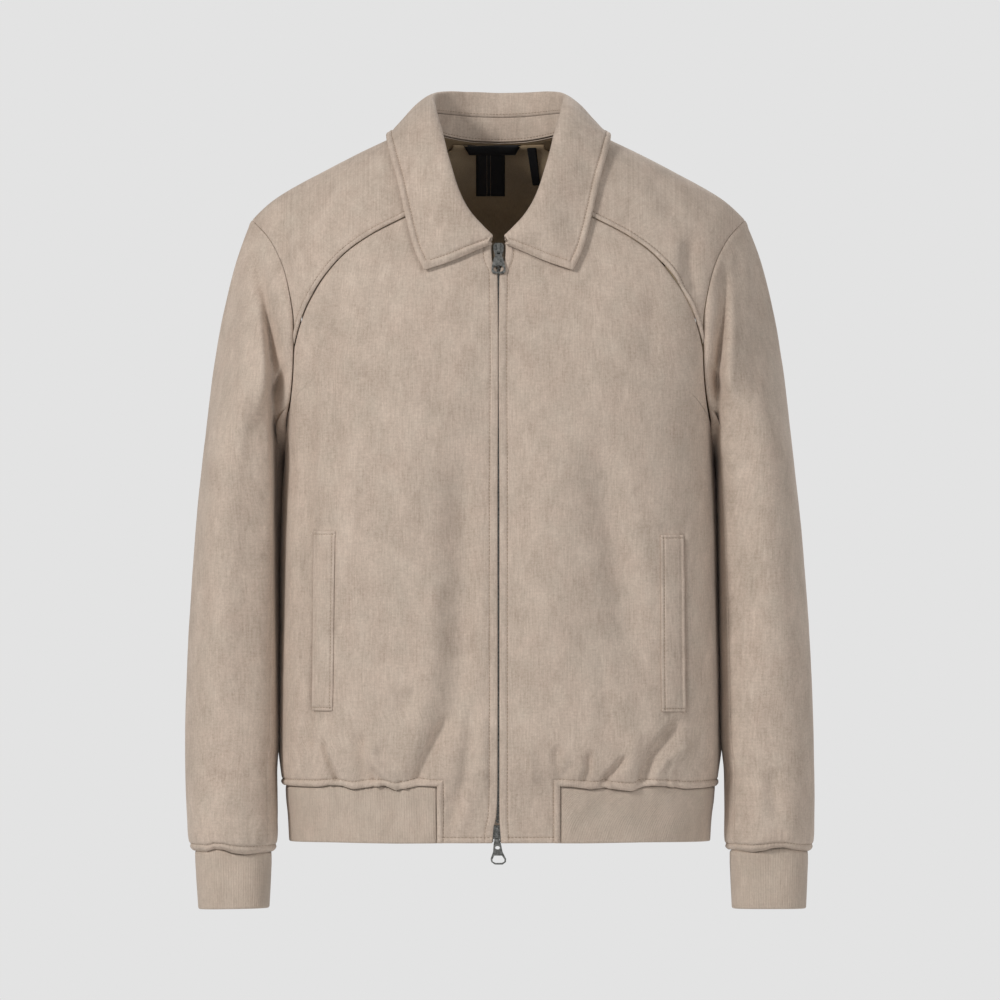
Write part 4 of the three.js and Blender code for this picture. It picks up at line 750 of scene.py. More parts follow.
SLEEVE_STROKES = {  # side of the jacket: strokes on the front half
    -1: [
        ([(255, 240), (258, 275), (264, 315), (271, 350), (276, 385)], -6.0, 8, 5, (0.1, 0.4)),
        ([(252, 250), (257, 310), (262, 360), (264, 430), (264, 520), (264, 640)], 2.2, 4, 6, (0, 0)),
        ([(248, 222), (245, 260), (243, 320), (242, 420), (240, 480)], 3.0, 6.5, 7.5, (0.3, 0)),
        ([(256, 232), (266, 262), (274, 300), (280, 340)], 1.6, 5, 6, (0.2, 0)),
        ([(236, 330), (238, 400), (232, 470)], -1.1, 12, 12, (0, 0)),
        ([(211, 430), (206, 520), (208, 610)], 0.9, 12, 12, (0, 0)),
        ([(246, 470), (249, 560), (245, 650), (248, 740)], -2.4, 12, 14, (0, 0)),
        ([(222, 470), (220, 600), (222, 720)], 1.2, 12, 12, (0, 0)),
        ([(215, 764), (208, 796), (206, 828)], -2.9, 7, 6, (0, 0.2)),
        ([(228, 780), (225, 806), (229, 832)], 1.3, 7, 7, (0, 0.2)),
        ([(214, 830), (217, 840), (217, 849)], -1.2, 2.2, 2.2, (0, 0.9)),
        ([(222, 828), (222, 838), (222, 849)], -1.1, 2.2, 2.2, (0, 0.9)),
        ([(208, 836), (211, 843), (212, 849)], -0.8, 2.0, 2.0, (0, 0.9)),
        ([(252, 806), (248, 826), (250, 846)], -1.2, 6, 6, (0, 0.4)),
        ([(264, 812), (263, 830), (266, 846)], 0.8, 5, 5, (0, 0.2)),
    ],
    1: [
        ([(724, 250), (725, 290), (724, 325), (719, 365), (715, 395)], -6.0, 5, 8, (0.1, 0.4)),
        ([(731, 270), (733, 320), (729, 370), (727, 430), (727, 520), (727, 640), (728, 730)], 5.5, 8, 6, (0, 0.2)),
        ([(745, 222), (748, 255), (750, 300), (751, 360)], 2.9, 5.5, 7, (0.3, 0)),
        ([(757, 240), (757, 290), (756, 350), (752, 420)], -2.2, 6, 8, (0, 0)),
        ([(737, 234), (727, 262), (719, 300), (712, 340)], 1.5, 6, 5, (0.2, 0)),
        ([(770, 420), (775, 500), (770, 590)], -1.0, 13, 13, (0, 0)),
        ([(745, 470), (748, 570), (744, 690)], -2.2, 12, 12, (0, 0)),
        ([(765, 500), (768, 620), (764, 720)], 1.0, 12, 12, (0, 0)),
        ([(786, 560), (790, 640), (786, 720)], 0.9, 11, 11, (0, 0)),
        ([(774, 764), (773, 796), (778, 828)], -2.9, 7, 7, (0, 0.3)),
        ([(758, 776), (761, 806), (757, 836)], 1.4, 8, 8, (0, 0.2)),
        ([(792, 780), (795, 806), (792, 836)], 1.0, 7, 7, (0, 0.2)),
        ([(776, 826), (777, 838), (779, 847)], -1.2, 2.2, 2.2, (0, 0.9)),
        ([(785, 828), (783, 838), (783, 847)], -1.2, 2.2, 2.2, (0, 0.9)),
        ([(770, 832), (772, 840), (774, 848)], -0.8, 2.0, 2.0, (0, 0.9)),
        ([(740, 812), (742, 828), (740, 846)], -1.0, 5, 5, (0, 0.3)),
    ],
}
SLEEVE_BACK = {  # strokes on the back half: turn round the sleeve, z
    -1: [
        ([(0.71, -190), (0.70, -260), (0.72, -340)], -3.0, 0.022, 0.03, (0, 0)),
        ([(0.80, -150), (0.81, -240), (0.80, -330)], 1.8, 0.03, 0.03, (0, 0)),
        ([(0.78, -380), (0.84, -420), (0.90, -440)], -1.8, 0.03, 0.03, (0, 0)),
        ([(0.70, -410), (0.78, -450), (0.86, -470)], 1.5, 0.03, 0.03, (0, 0)),
        ([(0.77, -560), (0.79, -610), (0.76, -655)], -1.9, 0.03, 0.025, (0, 0.3)),
        ([(0.86, -590), (0.85, -625), (0.88, -660)], -1.3, 0.022, 0.022, (0, 0.4)),
    ],
    1: [
        ([(0.70, -185), (0.71, -260), (0.70, -345)], -3.0, 0.022, 0.03, (0, 0)),
        ([(0.79, -150), (0.80, -240), (0.82, -330)], 1.7, 0.03, 0.03, (0, 0)),
        ([(0.74, -400), (0.81, -436), (0.88, -450)], -1.8, 0.03, 0.03, (0, 0)),
        ([(0.76, -520), (0.78, -560), (0.75, -610)], 1.3, 0.03, 0.03, (0, 0)),
        ([(0.80, -570), (0.78, -615), (0.81, -655)], -1.9, 0.025, 0.03, (0, 0.3)),
        ([(0.69, -600), (0.70, -630), (0.68, -660)], -1.2, 0.022, 0.022, (0, 0.4)),
    ],
}
HEM_WAVE_FRONT = [(283, 0), (300, 0.8), (318, 1.0), (330, -1.0), (342, -0.6), (353, 3.0), (365, 1.5), (376, 0), (385, -1), (396, 4), (408, 2), (419, 0), (437, 0),
                  (560, 0), (572, 0.5), (590, 3.0), (604, 1.5), (618, 3.5), (632, 5.0), (644, 0.5), (655, -1), (668, 0.5), (686, 3.0), (700, 2.5), (718, 1)]


def hem_wave(p):
    """How far the hem seam dips below its level."""
    x = p[..., 0] / PX + 498.5
    front = np.interp(x, [q[0] for q in HEM_WAVE_FRONT], [q[1] for q in HEM_WAVE_FRONT]) * PX
    front = front * (np.abs(p[..., 0]) > BLOCK_X + 0.5)
    back = 1.6 * noise(p * [1, 0, 0], (21, 50, 50), 71) + 0.6
    return np.where(p[..., 1] < 0, front, back * smooth(p[..., 1] / 30))


def hem_pull(p):
    """Gathers of the cloth above the hem seam, seen as short upright creases."""
    k = np.exp(-np.maximum(p[..., 2] - HEM_SEAM_Z - 4, 0) / 9)
    x = p[..., 0] + 0.6 * p[..., 1]
    bunch = smooth(noise(vec(x, x * 0, x * 0), (24, 50, 50), 72) * 1.6 + 0.35)
    x = np.where(p[..., 1] < 0, p[..., 0], x)
    here = np.zeros(x.shape)
    for a, b in ((320, 338), (363, 382), (398, 410), (598, 616), (646, 682), (688, 700)):
        xa, xb = at_px(a, 0)[0], at_px(b, 0)[0]
        here = np.maximum(here, smooth((p[..., 0] - xa) / 4 + 0.5) * smooth((xb - p[..., 0]) / 4 + 0.5))
    bunch = np.where(p[..., 1] < 0, np.maximum(bunch * 0.2, here), bunch)
    return k * bunch * 2.4 * noise(vec(x, x * 0, p[..., 2] * 0.3), (3.0, 50, 20), 73)


def relief(p, strokes):
    x, z = p[..., 0], p[..., 2]
    total = np.zeros(x.shape)
    for pts, deep, wide, wide2, ends in strokes:
        total += stroke(x, z, pts, 2.1 * deep, wide, wide2, ends)
    return total


def unevenness(p, seed=5):
    return 0.8 * noise(p, (40, 70, 130), seed) + 0.30 * noise(p, (17, 30, 44), seed + 1) + 0.10 * noise(p, (8, 12, 11), seed + 2)


def zip_dip(p):
    """The fronts dip toward the zip."""
    return stroke(p[..., 0], p[..., 2], [(498, 300), (498, 450), (498, 620), (498, 818)], -5.5, 30, 30, (0, 0))


def front_relief(p):
    return relief(p, FRONT_STROKES) + unevenness(p)


def back_relief(p):
    total = np.zeros(p.shape[:-1])
    for pts, deep, wide, wide2, ends in BACK_STROKES:
        total += stroke(p[..., 0], p[..., 2], pts, deep, wide, wide2, ends, mm=True)
    return total + unevenness(p, 15)


# ------------------------------------------------------------------ panels of the body
ARM_ROWS, SIDE_ROWS = 9, 8
fore_arm, hind_arm = along(ARMHOLE_FRONT), along(ARMHOLE_BACK)
neck_front, neck_back, yoke_seam = along(NECK_FRONT), along(NECK_BACK), along(YOKE_SEAM)


def curve_param(face, side, read, row):
    return body_param(face, side * read(row, "x"), read(row, "z"))


def side_param(face, side, z):
    x = body_at(z, "shift") + side * body_at(z, "half")
    return np.full(np.shape(z), side * math.pi / 2), body_param(face, x, z)[1]


class Coons:
    """A net between four seams, each given as a function from 0 to 1 to body parameters."""

    def __init__(self, face, top, bottom, left, right):
        self.face, self.parts = face, (top, bottom, left, right)
        t = np.linspace(0, 1, 721)
        self.t = t
        self.tab = [[np.asarray(q, float) for q in f(t)] for f in self.parts]

    def param(self, u, v):
        out = []
        for k in range(2):
            top, bottom, left, right = (self.tab[i][k] for i in range(4))
            T, B = np.interp(u, self.t, top), np.interp(u, self.t, bottom)
            L, R = np.interp(v, self.t, left), np.interp(v, self.t, right)
            out.append(mix(T, B, v) + mix(L, R, u) - mix(mix(top[0], top[-1], u), mix(bottom[0], bottom[-1], u), v))
        return out

    def points(self, u, v):
        a, b = self.param(u, v)
        return plain_body(self.face, a, b)


OVER = np.concatenate([np.linspace(0, 0.9, 240), 1 - np.geomspace(0.1, 1e-6, 160), [1.0]])
OVER_BOTH = np.concatenate([[0.0], np.geomspace(1e-6, 0.08, 120), np.linspace(0.08, 0.92, 300)[1:-1], 1 - np.geomspace(0.08, 1e-6, 120), [1.0]])


def arm_curve(face, side, read, a, b):
    def f(t):
        row = mix(a, b, t)
        phi, w = curve_param(face, side, read, row)
        under = body_param(face, side * 202.6, -281.0)
        end = row > ARM_ROWS - 1e-6
        phi = np.where(end, side * math.pi / 2, phi)
        w = np.where(end, under[1], w)
        return phi, np.where(row < 1e-6, 0, w)
    return f


def front_panel(side):
    tail = "r" if side < 0 else "l"
    edge = lambda z: edge_at(z, tail)

    def top(t):
        q = t * 12
        a = curve_param(-1, side, neck_front, mix(6, 3, np.clip(q / 4, 0, 1)))
        b = curve_param(-1, side, yoke_seam, np.clip(q - 4, 0, 8))
        return [np.where(q <= 4, a[k], b[k]) for k in range(2)]

    lower_arm = arm_curve(-1, side, fore_arm, 5, 9)

    def right(t):
        q = t * 12
        a = lower_arm(np.clip(q / 4, 0, 1))
        b = side_param(-1, side, mix(-281, HEM_SEAM_Z, np.clip((q - 4) / 8, 0, 1)))
        return [np.where(q <= 4, a[k], b[k]) for k in range(2)]

    def left(t):
        z = np.interp(t * 12, [0, 1, 2] + [2 + j for j in range(1, 11)], [-97, -112, -128] + [mix(-128, HEM_SEAM_Z, j / 10) for j in range(1, 11)])
        return body_param(-1, side * edge(z), z)

    start = body_param(-1, side * BLOCK_X, HEM_SEAM_Z)[0]

    def bottom(t):
        q = t * 12
        a = body_param(-1, side * mix(edge(HEM_SEAM_Z), BLOCK_X, np.clip(q / 3, 0, 1)), np.full(q.shape, float(HEM_SEAM_Z)))
        phi = mix(start, side * math.pi / 2, np.clip((q - 3) / 9, 0, 1))
        b = (phi, level_param(-1, phi, HEM_SEAM_Z))
        return [np.where(q <= 3, a[k], b[k]) for k in range(2)]

    net = Coons(-1, top, bottom, left, right)
    # rows
    middle = run_of(net.points(np.full((400, 1), 0.45), np.linspace(0, 1, 400)[:, None]), 0)[:, 0]
    v_share = graded(middle[-1], PLAIN, SEWN, 2.5)
    vs = np.interp(v_share * middle[-1], middle, np.linspace(0, 1, 400))
    # columns: the block, then the rest
    block = graded(BLOCK_X, SEWN, SEWN, 2.4)
    rest = graded(212, PLAIN, PLAIN, 1.75)
    over_a, over_b = np.linspace(0, 0.25, 60), 0.25 + 0.75 * OVER
    ua = even_out(net.points, block, vs, over_a)
    ub = even_out(net.points, rest, vs, over_b)
    U = np.concatenate([ua, ub[:, 1:]], 1)
    V = np.repeat(vs[:, None], U.shape[1], 1)
    phi, w = net.param(U, V)
    nb = len(block)
    # the block below the hem seam
    zs = (HEM_SEAM_Z - (graded(HEM_SEAM_Z - HEM_Z, [0, 2.0, 4.0], SEWN, 2.4) * (HEM_SEAM_Z - HEM_Z)))[1:]
    bx = side * mix(edge(zs)[:, None], BLOCK_X, block[None, :])
    bphi, bw = body_param(-1, bx, np.repeat(zs[:, None], nb, 1))
    pad = np.zeros((len(zs), phi.shape[1] - nb))
    phi = np.concatenate([phi, np.concatenate([bphi, pad], 1)])
    w = np.concatenate([w, np.concatenate([bw, pad + 2], 1)])
    P, N = on_body(-1, phi, w)
    R0 = len(vs)
    valid = np.ones((P.shape[0] - 1, P.shape[1] - 1), bool)
    valid[R0 - 1:, nb - 1:] = False
    x, z = np.abs(P[..., 0]), P[..., 2]
    d_front = np.maximum(x - edge(z), 0)
    d_low = np.maximum(z - HEM_Z, 0)
    inside = x < BLOCK_X
    d_hem = np.where(inside & (z < HEM_SEAM_Z), BLOCK_X - x, np.where(inside, np.maximum(BLOCK_X - x, z - HEM_SEAM_Z), z - HEM_SEAM_Z))
    d_hem = np.maximum(d_hem, 0)
    d_top = nearest(P, dense(P[0]))
    d_side = nearest(P, dense(P[:R0, -1]))
    yoke_part = smooth((x - 62) / 6)
    arm_part = smooth((z + 300) / 20)
    d = front_relief(P)
    calm = smooth(np.minimum(np.minimum(d_top, d_side), np.minimum(d_hem, d_front)) / 9)
    d = d * mix(0.35, 1, calm)
    d += zip_dip(P) + hem_pull(P) * smooth((z - HEM_SEAM_Z + 0.5) / 1.0)
    d += (rolled(d_top, 3.4, 2.6) - 0.7 * np.exp(-((d_top / 6.5) ** 2))) * yoke_part + rolled(d_side, 2.4, 1.3)
    d += 2.2 * np.exp(-((d_side / 16) ** 2)) * smooth((-290 - z) / 40) * smooth((z + 596) / 26)
    d += rolled(d_hem, 1.5, 0.7) + puff(d_hem, 6.0, 1.35) + groove(d_hem, 6.0, 0.8)
    d += groove(d_front, 7.6, 0.75, 1.0) + puff(d_front, 7.6, 0.4)
    d += (groove(d_low, 5.4, 0.5) + puff(d_low, 5.4, 0.4)) * inside
    for wl in WELT:
        if wl["side"] == side:
            t = (P[..., 2] - wl["topZ"]) / (wl["lowZ"] - wl["topZ"])
            out = np.abs(mix(wl["topOut"], wl["lowOut"], t))
            k = smooth((t + 0.01) / 0.02) * smooth((1.01 - t) / 0.02)
            d += -4.2 * np.exp(-(((x - out - 1.2) / 1.9) ** 2)) * k
            d += 0.7 * np.exp(-(((x - out - 6) / 4.0) ** 2)) * k
    wallt = np.minimum(fold_wall(d_front, CLOTH), np.where(inside, fold_wall(d_low, CLOTH), CLOTH))
    thin = mix(0.45, 1, smooth(np.minimum(d_top, np.minimum(d_side, d_hem)) / 3))
    P = P + N * (d - (CLOTH - wallt) / 2)[..., None]
    P[..., 2] -= hem_wave(P) * np.exp(-np.maximum(P[..., 2] - HEM_SEAM_Z, 0) / 14) * smooth(d_hem * 0 + (x - BLOCK_X + 2) / 6) * (z > HEM_SEAM_Z - 1)
    G = grid_normals(P)
    G = np.where((dot(G, N) < 0)[..., None], -G, G)
    ob = shell(f"front_{tail}_cloth", P, N, wallt * thin + hollow(d) * calm * smooth(d_low / 9), [SUEDE, LINING], valid, keep_rows=[R0 - 1], keep_cols=[nb - 1],
               cloth=vec(side * (np.abs(P[:, :1, 0]) + run_of(P, 1)), -P[..., 2], 0 * d))
    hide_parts(f"front_{tail}")
    # topstitching
    group = "stitches_front"
    rows_in = range(0, P.shape[0])
    l, n = iso(P, G, d_front, 7.6, 1, cols=[k for k in rows_in if z[k, 0] < -106])
    stitches(group, l, n)
    l, n = iso(P[:R0], G[:R0], d_hem[:R0], 6.0, 0, first=False, cols=range(nb, P.shape[1]))
    corner_rows = [k for k in range(P.shape[0]) if z[k, 0] < HEM_SEAM_Z + 6.0 and z[k, 0] > HEM_Z + 1]
    l2, n2 = iso(P[:, :nb], G[:, :nb], d_hem[:, :nb], 6.0, 1, first=False, cols=corner_rows)
    stitches(group, np.concatenate([l2[::-1], l]), np.concatenate([n2[::-1], n]))
    l, n = iso(P[:, :nb], G[:, :nb], d_low[:, :nb], 5.4, 0, first=False, cols=[k for k in range(nb) if 8 < x[-1, k] < BLOCK_X - 5])
    stitches(group, l, n)
    return P, G


def yoke_panel(side):
    tail = "r" if side < 0 else "l"

    def top(t):
        xs = mix(75, 233, t)
        return body_param(-1, side * xs, shoulder_at(xs, "z"))[0], np.zeros(xs.shape)

    bottom = lambda t: curve_param(-1, side, yoke_seam, t * 8)

    def left(t):
        a = curve_param(-1, side, neck_front, mix(0, 3, t))
        return a[0], np.where(t < 1e-6, 0, a[1])

    net = Coons(-1, top, bottom, left, arm_curve(-1, side, fore_arm, 0, 5))
    vs = graded(105, PLAIN, SEWN[:15], 2.3)
    us = graded(190, PLAIN, PLAIN, 2.4)
    U = even_out(net.points, us, vs, np.linspace(0, 1, 400))
    V = np.repeat(vs[:, None], U.shape[1], 1)
    phi, w = net.param(U, V)
    P, N = on_body(-1, phi, w)
    d_top, d_low = nearest(P, dense(P[0])), nearest(P, dense(P[-1]))
    d_arm, d_neck = nearest(P, dense(P[:, -1])), nearest(P, dense(P[:, 0]))
    d = (relief(P, YOKE_STROKES) + 0.8 * unevenness(P)) * smooth(np.minimum(d_top, d_arm) / 12)
    d += rolled(d_top, 2.2, 1.0) + rolled(d_arm, 2.4, 1.3)
    d += rolled(d_low, 1.0, 0.4) + puff(d_low, 4.6, 1.1) + groove(d_low, 4.6, 0.6, 0.8) + 0.45 * np.exp(-((d_low / 5) ** 2))
    thin = mix(0.45, 1, smooth(np.minimum(np.minimum(d_top, d_arm), d_neck) / 3))
    P = P + N * d[..., None]
    G = grid_normals(P)
    G = np.where((dot(G, N) < 0)[..., None], -G, G)
    ob = shell(f"yoke_{tail}_cloth", P, N, CLOTH * thin, [SUEDE, LINING], cloth=vec(P[..., 0], -P[..., 2] + P[..., 1], 0 * d))
    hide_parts(f"yoke_{tail}")
    l, n = iso(P, G, d_low, 4.6, 0, first=False)
    stitches("stitches_front", l, n)


def back_panel():
    halves = []
    for side in (-1, 1):
        def top(t, side=side):
            q = t * 11
            a = curve_param(1, side, neck_back, np.clip(q, 0, 4))
            xs = mix(75, 233, np.clip((q - 4) / 7, 0, 1))
            b = body_param(1, side * xs, shoulder_at(xs, "z"))[0]
            share = smooth((q - 3.2) / 0.8)
            return np.where(q <= 4, a[0], b), np.where(q <= 4, a[1] * (1 - share) + 0 * share, 0)

        full_arm = arm_curve(1, side, hind_arm, 0, 9)

        def right(t, side=side):
            q = t * 17
            a = full_arm(np.clip(q / 9, 0, 1))
            b = side_param(1, side, mix(-281, HEM_SEAM_Z, np.clip((q - 9) / 8, 0, 1)))
            return [np.where(q <= 9, a[k], b[k]) for k in range(2)]

        def left(t, side=side):
            z = mix(0, HEM_SEAM_Z, t ** 1.15)
            return body_param(1, np.zeros(z.shape), z)

        def bottom(t, side=side):
            phi = side * math.pi / 2 * t
            return phi, level_param(1, phi, HEM_SEAM_Z)

        net = Coons(1, top, bottom, left, right)
        ts = np.linspace(0, 1, 400)
        middle = run_of(net.points(np.full((400, 1), 0.5), ts[:, None]), 0)[:, 0]
        vs = np.interp(graded(middle[-1], PLAIN, SEWN, 2.9) * middle[-1], middle, ts)
        us = graded(270, [0], PLAIN, 2.9)
        U = even_out(net.points, us, vs, OVER)
        V = np.repeat(vs[:, None], U.shape[1], 1)
        phi, w = net.param(U, V)
        halves.append(on_body(1, phi, w))
    P = np.concatenate([halves[0][0][:, :0:-1], halves[1][0]], 1)
    N = np.concatenate([halves[0][1][:, :0:-1], halves[1][1]], 1)
    d_top, d_hem = nearest(P, dense(P[0])), np.maximum(P[..., 2] - HEM_SEAM_Z, 0)
    d_side = np.minimum(nearest(P, dense(P[:, 0])), nearest(P, dense(P[:, -1])))
    calm = smooth(np.minimum(np.minimum(d_top, d_side), d_hem) / 10)
    d = back_relief(P) * mix(0.3, 1, calm) + hem_pull(P) * 1.2
    d += rolled(d_top, 2.2, 1.0) + rolled(d_side, 2.4, 1.3)
    d += rolled(d_hem, 1.5, 0.7) + puff(d_hem, 6.0, 1.35) + groove(d_hem, 6.0, 0.8)
    thin = mix(0.45, 1, smooth(np.minimum(d_top, np.minimum(d_side, d_hem)) / 3))
    P = P + N * d[..., None]
    P[..., 2] -= hem_wave(P) * np.exp(-np.maximum(P[..., 2] - HEM_SEAM_Z, 0) / 14)
    G = grid_normals(P)
    G = np.where((dot(G, N) < 0)[..., None], -G, G)
    ob = shell("back_cloth", P, N, CLOTH * thin + hollow(d) * calm, [SUEDE, LINING], cloth=arc(P))
    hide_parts("back")
    l, n = iso(P, G, d_hem, 6.0, 0, first=False)
    stitches("stitches_back", l, n)


def hem_band():
    start = body_param(-1, BLOCK_X - 4, -635.0)[0]
    side_f, side_b = np.linspace(0, 1, 900) ** 0.5, np.linspace(0, 1, 900) ** 2
    path = [(-1, -(start + (math.pi / 2 - start) * side_f)), (1, -math.pi / 2 * (1 - side_b))]
    # one list of (face, phi) from the right block round the back to the left block
    fr = [(-1, -q) for q in start + (math.pi / 2 - start) * (1 - (1 - np.linspace(0, 1, 500)) ** 3)]
    bk = [(1, q) for q in -math.pi / 2 + math.pi * (0.5 - 0.5 * np.cos(np.pi * np.linspace(0, 1, 1200)))]
    fl = [(-1, q) for q in start + (math.pi / 2 - start) * (1 - np.linspace(0, 1, 500) ** 3)]
    whole = fr[:-1] + bk + fl[1:]
    face, phi = np.array([q[0] for q in whole]), np.array([q[1] for q in whole])

    def section(phi, face, z):
        z = np.full(phi.shape, float(z))
        out = np.where((face < 0)[..., None], plain_body(-1, phi, level_param(-1, phi, z)), plain_body(1, phi, level_param(1, phi, z)))
        return out

    s = run_of(section(phi, face, -635)[None], 1)[0]
    marks = graded(s[-1], PLAIN[:7], PLAIN[:7], 2.3) * s[-1]
    # phi runs monotonically in s on each face; read position in the list
    at = np.interp(marks, s, np.arange(len(s)))
    lo = np.clip(np.floor(at).astype(int), 0, len(s) - 2)
    f = at - lo
    face_i = np.where(face[lo] == face[lo + 1], face[lo], np.where(f < 0.5, face[lo], face[lo + 1]))
    phi_i = np.where(face[lo] == face[lo + 1], mix(phi[lo], phi[lo + 1], f), np.where(f < 0.5, phi[lo], phi[lo + 1]))
    top_z = HEM_SEAM_Z + 3
    zs = top_z - graded(top_z - HEM_Z, PLAIN, PLAIN[:7], 2.3) * (top_z - HEM_Z)
    Z = np.repeat(zs[:, None], len(phi_i), 1)
    PH = np.repeat(phi_i[None], len(zs), 0)
    fa, na = on_body(-1, PH, level_param(-1, PH, Z))
    fb, nb_ = on_body(1, PH, level_param(1, PH, Z))
    front = (face_i < 0)[None, :, None]
    P, N = np.where(front, fa, fb), np.where(front, na, nb_)
    N = unit(N * [1, 1, 0.25])
    d_top, d_low = np.maximum(HEM_SEAM_Z - Z, 0), np.maximum(Z - HEM_Z, 0)
    ends = np.minimum(nearest(P, dense(P[:, 0])), nearest(P, dense(P[:, -1])))
    run = run_of(P, 1)
    d = 0.55 * noise(vec(run, run * 0, Z * 0.5), (17, 50, 40), 33) * smooth(d_low / 40) + 0.5 * noise(P, (60, 60, 40), 34)
    d += hem_pull(vec(P[..., 0], P[..., 1], np.full(Z.shape, float(HEM_SEAM_Z)))) * 0.5 * np.exp(-d_top / 9)
    d += -1.2 - 0.8 * np.exp(-((d_top / 2.6) ** 2)) + 1.2 * smooth(d_top / 18) * smooth(ends / 14)
    d += (stroke(P[..., 0], Z, [(418, 792), (420, 822), (415, 840)], -1.5, 6, 8, (0.3, 0.3)) + stroke(P[..., 0], Z, [(352, 790), (350, 815), (354, 838)], -0.8, 9, 9, (0.6, 0))
          + stroke(P[..., 0], Z, [(640, 790), (643, 815), (638, 838)], -0.9, 9, 8, (0.6, 0)) + stroke(P[..., 0], Z, [(584, 792), (580, 820)], 0.7, 9, 9, (0.3, 0))) * (P[..., 1] < 0)
    d -= 2.6 * np.maximum(smooth((Z - HEM_SEAM_Z + 1.2) / 2.0), smooth((BLOCK_X + 1.2 - np.abs(P[..., 0])) / 2.0) * (P[..., 1] < 0))
    wallt = fold_wall(d_low, RIB)
    P = P + N * (d - (RIB - wallt) / 2)[..., None]
    P[..., 2] -= hem_wave(P) * np.exp(-d_top / 12) * smooth((np.abs(P[..., 0]) - BLOCK_X + 2) / 6)
    low_wave = 0.7 * noise(vec(run, run * 0, run * 0), (70, 50, 50), 35)
    P[..., 2] += low_wave * smooth(1 - d_low / 30)
    cloth = vec(run, -P[..., 2], run * 0)
    ob = shell("hem_band_knit", P, N, wallt, [BAND, BAND], cloth=cloth)
    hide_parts("hem_band")


# ------------------------------------------------------------------ sleeves
def ring_at(side, turn, z, read, bulge):
    tail = "R" if side < 0 else "L"
    inner, outer = read(z, "in" + tail), read(z, "out" + tail)
    a = turn * 2 * np.pi
    c = np.sign(np.cos(a)) * np.abs(np.cos(a)) ** (2 / bulge)
    s = np.sign(np.sin(a)) * np.abs(np.sin(a)) ** (2 / bulge)
    return vec(side * (mix(inner, outer, 0.5) + (outer - inner) / 2 * c), read(z, "midY") - read(z, "deep") / 2 * s, z)


CAP_ROWS = 6
ARM_LEVELS = [-305, -350, -400, -450, -500, -550, -600, -640, -660, SLEEVE_END_Z]
SLEEVE_ROWS = CAP_ROWS + len(ARM_LEVELS) - 1


class Arm:
    """One sleeve's surface: turn 0 at the shoulder point, 0.25 in front, 0.5 under the arm, 0.75 behind; row 0 at the armhole."""

    def __init__(self, side):
        self.side = side
        t = np.linspace(-0.02, 1.02, 1041)
        q = t % 1
        fr, row = q <= 0.5, np.where(q <= 0.5, q, 1 - q) * 2 * ARM_ROWS
        ps = []
        for face, read in ((-1, fore_arm), (1, hind_arm)):
            phi, w = curve_param(face, side, read, row)
            end = row > ARM_ROWS - 1e-6
            under = body_param(face, side * 202.6, -281.0)[1]
            phi, w = np.where(end, side * math.pi / 2, phi), np.where(end, under, w)
            ps.append(on_body(face, phi, np.where(row < 1e-6, 0, w)))
        self.t = t
        self.hole = np.where(fr[:, None], ps[0][0], ps[1][0])
        self.hole_n = np.where(fr[:, None], ps[0][1], ps[1][1])

    def read(self, table, turn):
        q = turn % 1
        return np.stack([np.interp(q, self.t, table[:, k]) for k in range(3)], -1)

    def plain(self, turn, row):
        side = self.side
        turn, row = np.broadcast_arrays(np.asarray(turn, float), np.asarray(row, float))
        k = np.clip(row - CAP_ROWS, 0, len(ARM_LEVELS) - 1)
        z = np.interp(k, np.arange(len(ARM_LEVELS)), ARM_LEVELS)
        low_part = ring_at(side, turn, z, sleeve_at, SLEEVE_BULGE)
        t = (np.clip(row, 0, CAP_ROWS) / CAP_ROWS)[..., None]
        start, sn = self.read(self.hole, turn), unit(self.read(self.hole_n, turn))
        top = np.full(turn.shape, float(SLEEVE_TOP_RING_Z))
        end, after = ring_at(side, turn, top, sleeve_at, SLEEVE_BULGE), ring_at(side, turn, top - 30, sleeve_at, SLEEVE_BULGE)
        reach = np.linalg.norm(start - end, axis=-1, keepdims=True)
        a = turn * 2 * np.pi
        low = (1 - np.cos(a)) / 2
        start = start + sn * (0.85 * smooth((low - 0.83) / 0.1))[..., None]
        leave = unit(vec(side * mix(0.40, 0.52, low), -0.2 * np.sin(a), np.full(a.shape, -0.9))) * reach
        arrive = unit(after - end) * reach
        t2, t3 = t * t, t * t * t
        cap = start * (2 * t3 - 3 * t2 + 1) + leave * (t3 - 2 * t2 + t) + end * (3 * t2 - 2 * t3) + arrive * (t3 - t2)
        return np.where((row < CAP_ROWS)[..., None], cap, low_part)

    def normal(self, turn, row):
        row = np.clip(row, 0.02, SLEEVE_ROWS - 0.02)
        u = self.plain(turn + 0.004, row) - self.plain(turn - 0.004, row)
        v = self.plain(turn, row + 0.02) - self.plain(turn, row - 0.02)
        n = unit(np.cross(u, v))
        return -n if self.side < 0 else n

    def point(self, turn, row):
        turn, row = np.broadcast_arrays(np.asarray(turn, float), np.asarray(row, float))
        p, n = self.plain(turn, row), self.normal(turn, row)
        total = np.zeros(turn.shape)
        q = turn % 1
        for f in SLEEVE_FOLD:
            if f["side"] == self.side:
                across, up = (q - f["turn"]) / f["wide"], (p[..., 2] - f["z"]) / f["tall"]
                total = total + f["deep"] * np.exp(-across ** 2) * np.where(np.abs(up) < 1, (1 - up ** 2) ** 2, 0)
        return p + n * (total * smooth(row / 1.2))[..., None], n


CUFF_WAVE = {-1: [(186, 0), (196, 1), (206, 2), (214, -2), (224, -1), (232, 3), (246, 5), (262, 3), (276, 1)],
             1: [(725, -1), (738, 0), (752, 2), (764, 0), (772, -3), (784, -4), (794, -1), (806, 1), (814, 2)]}


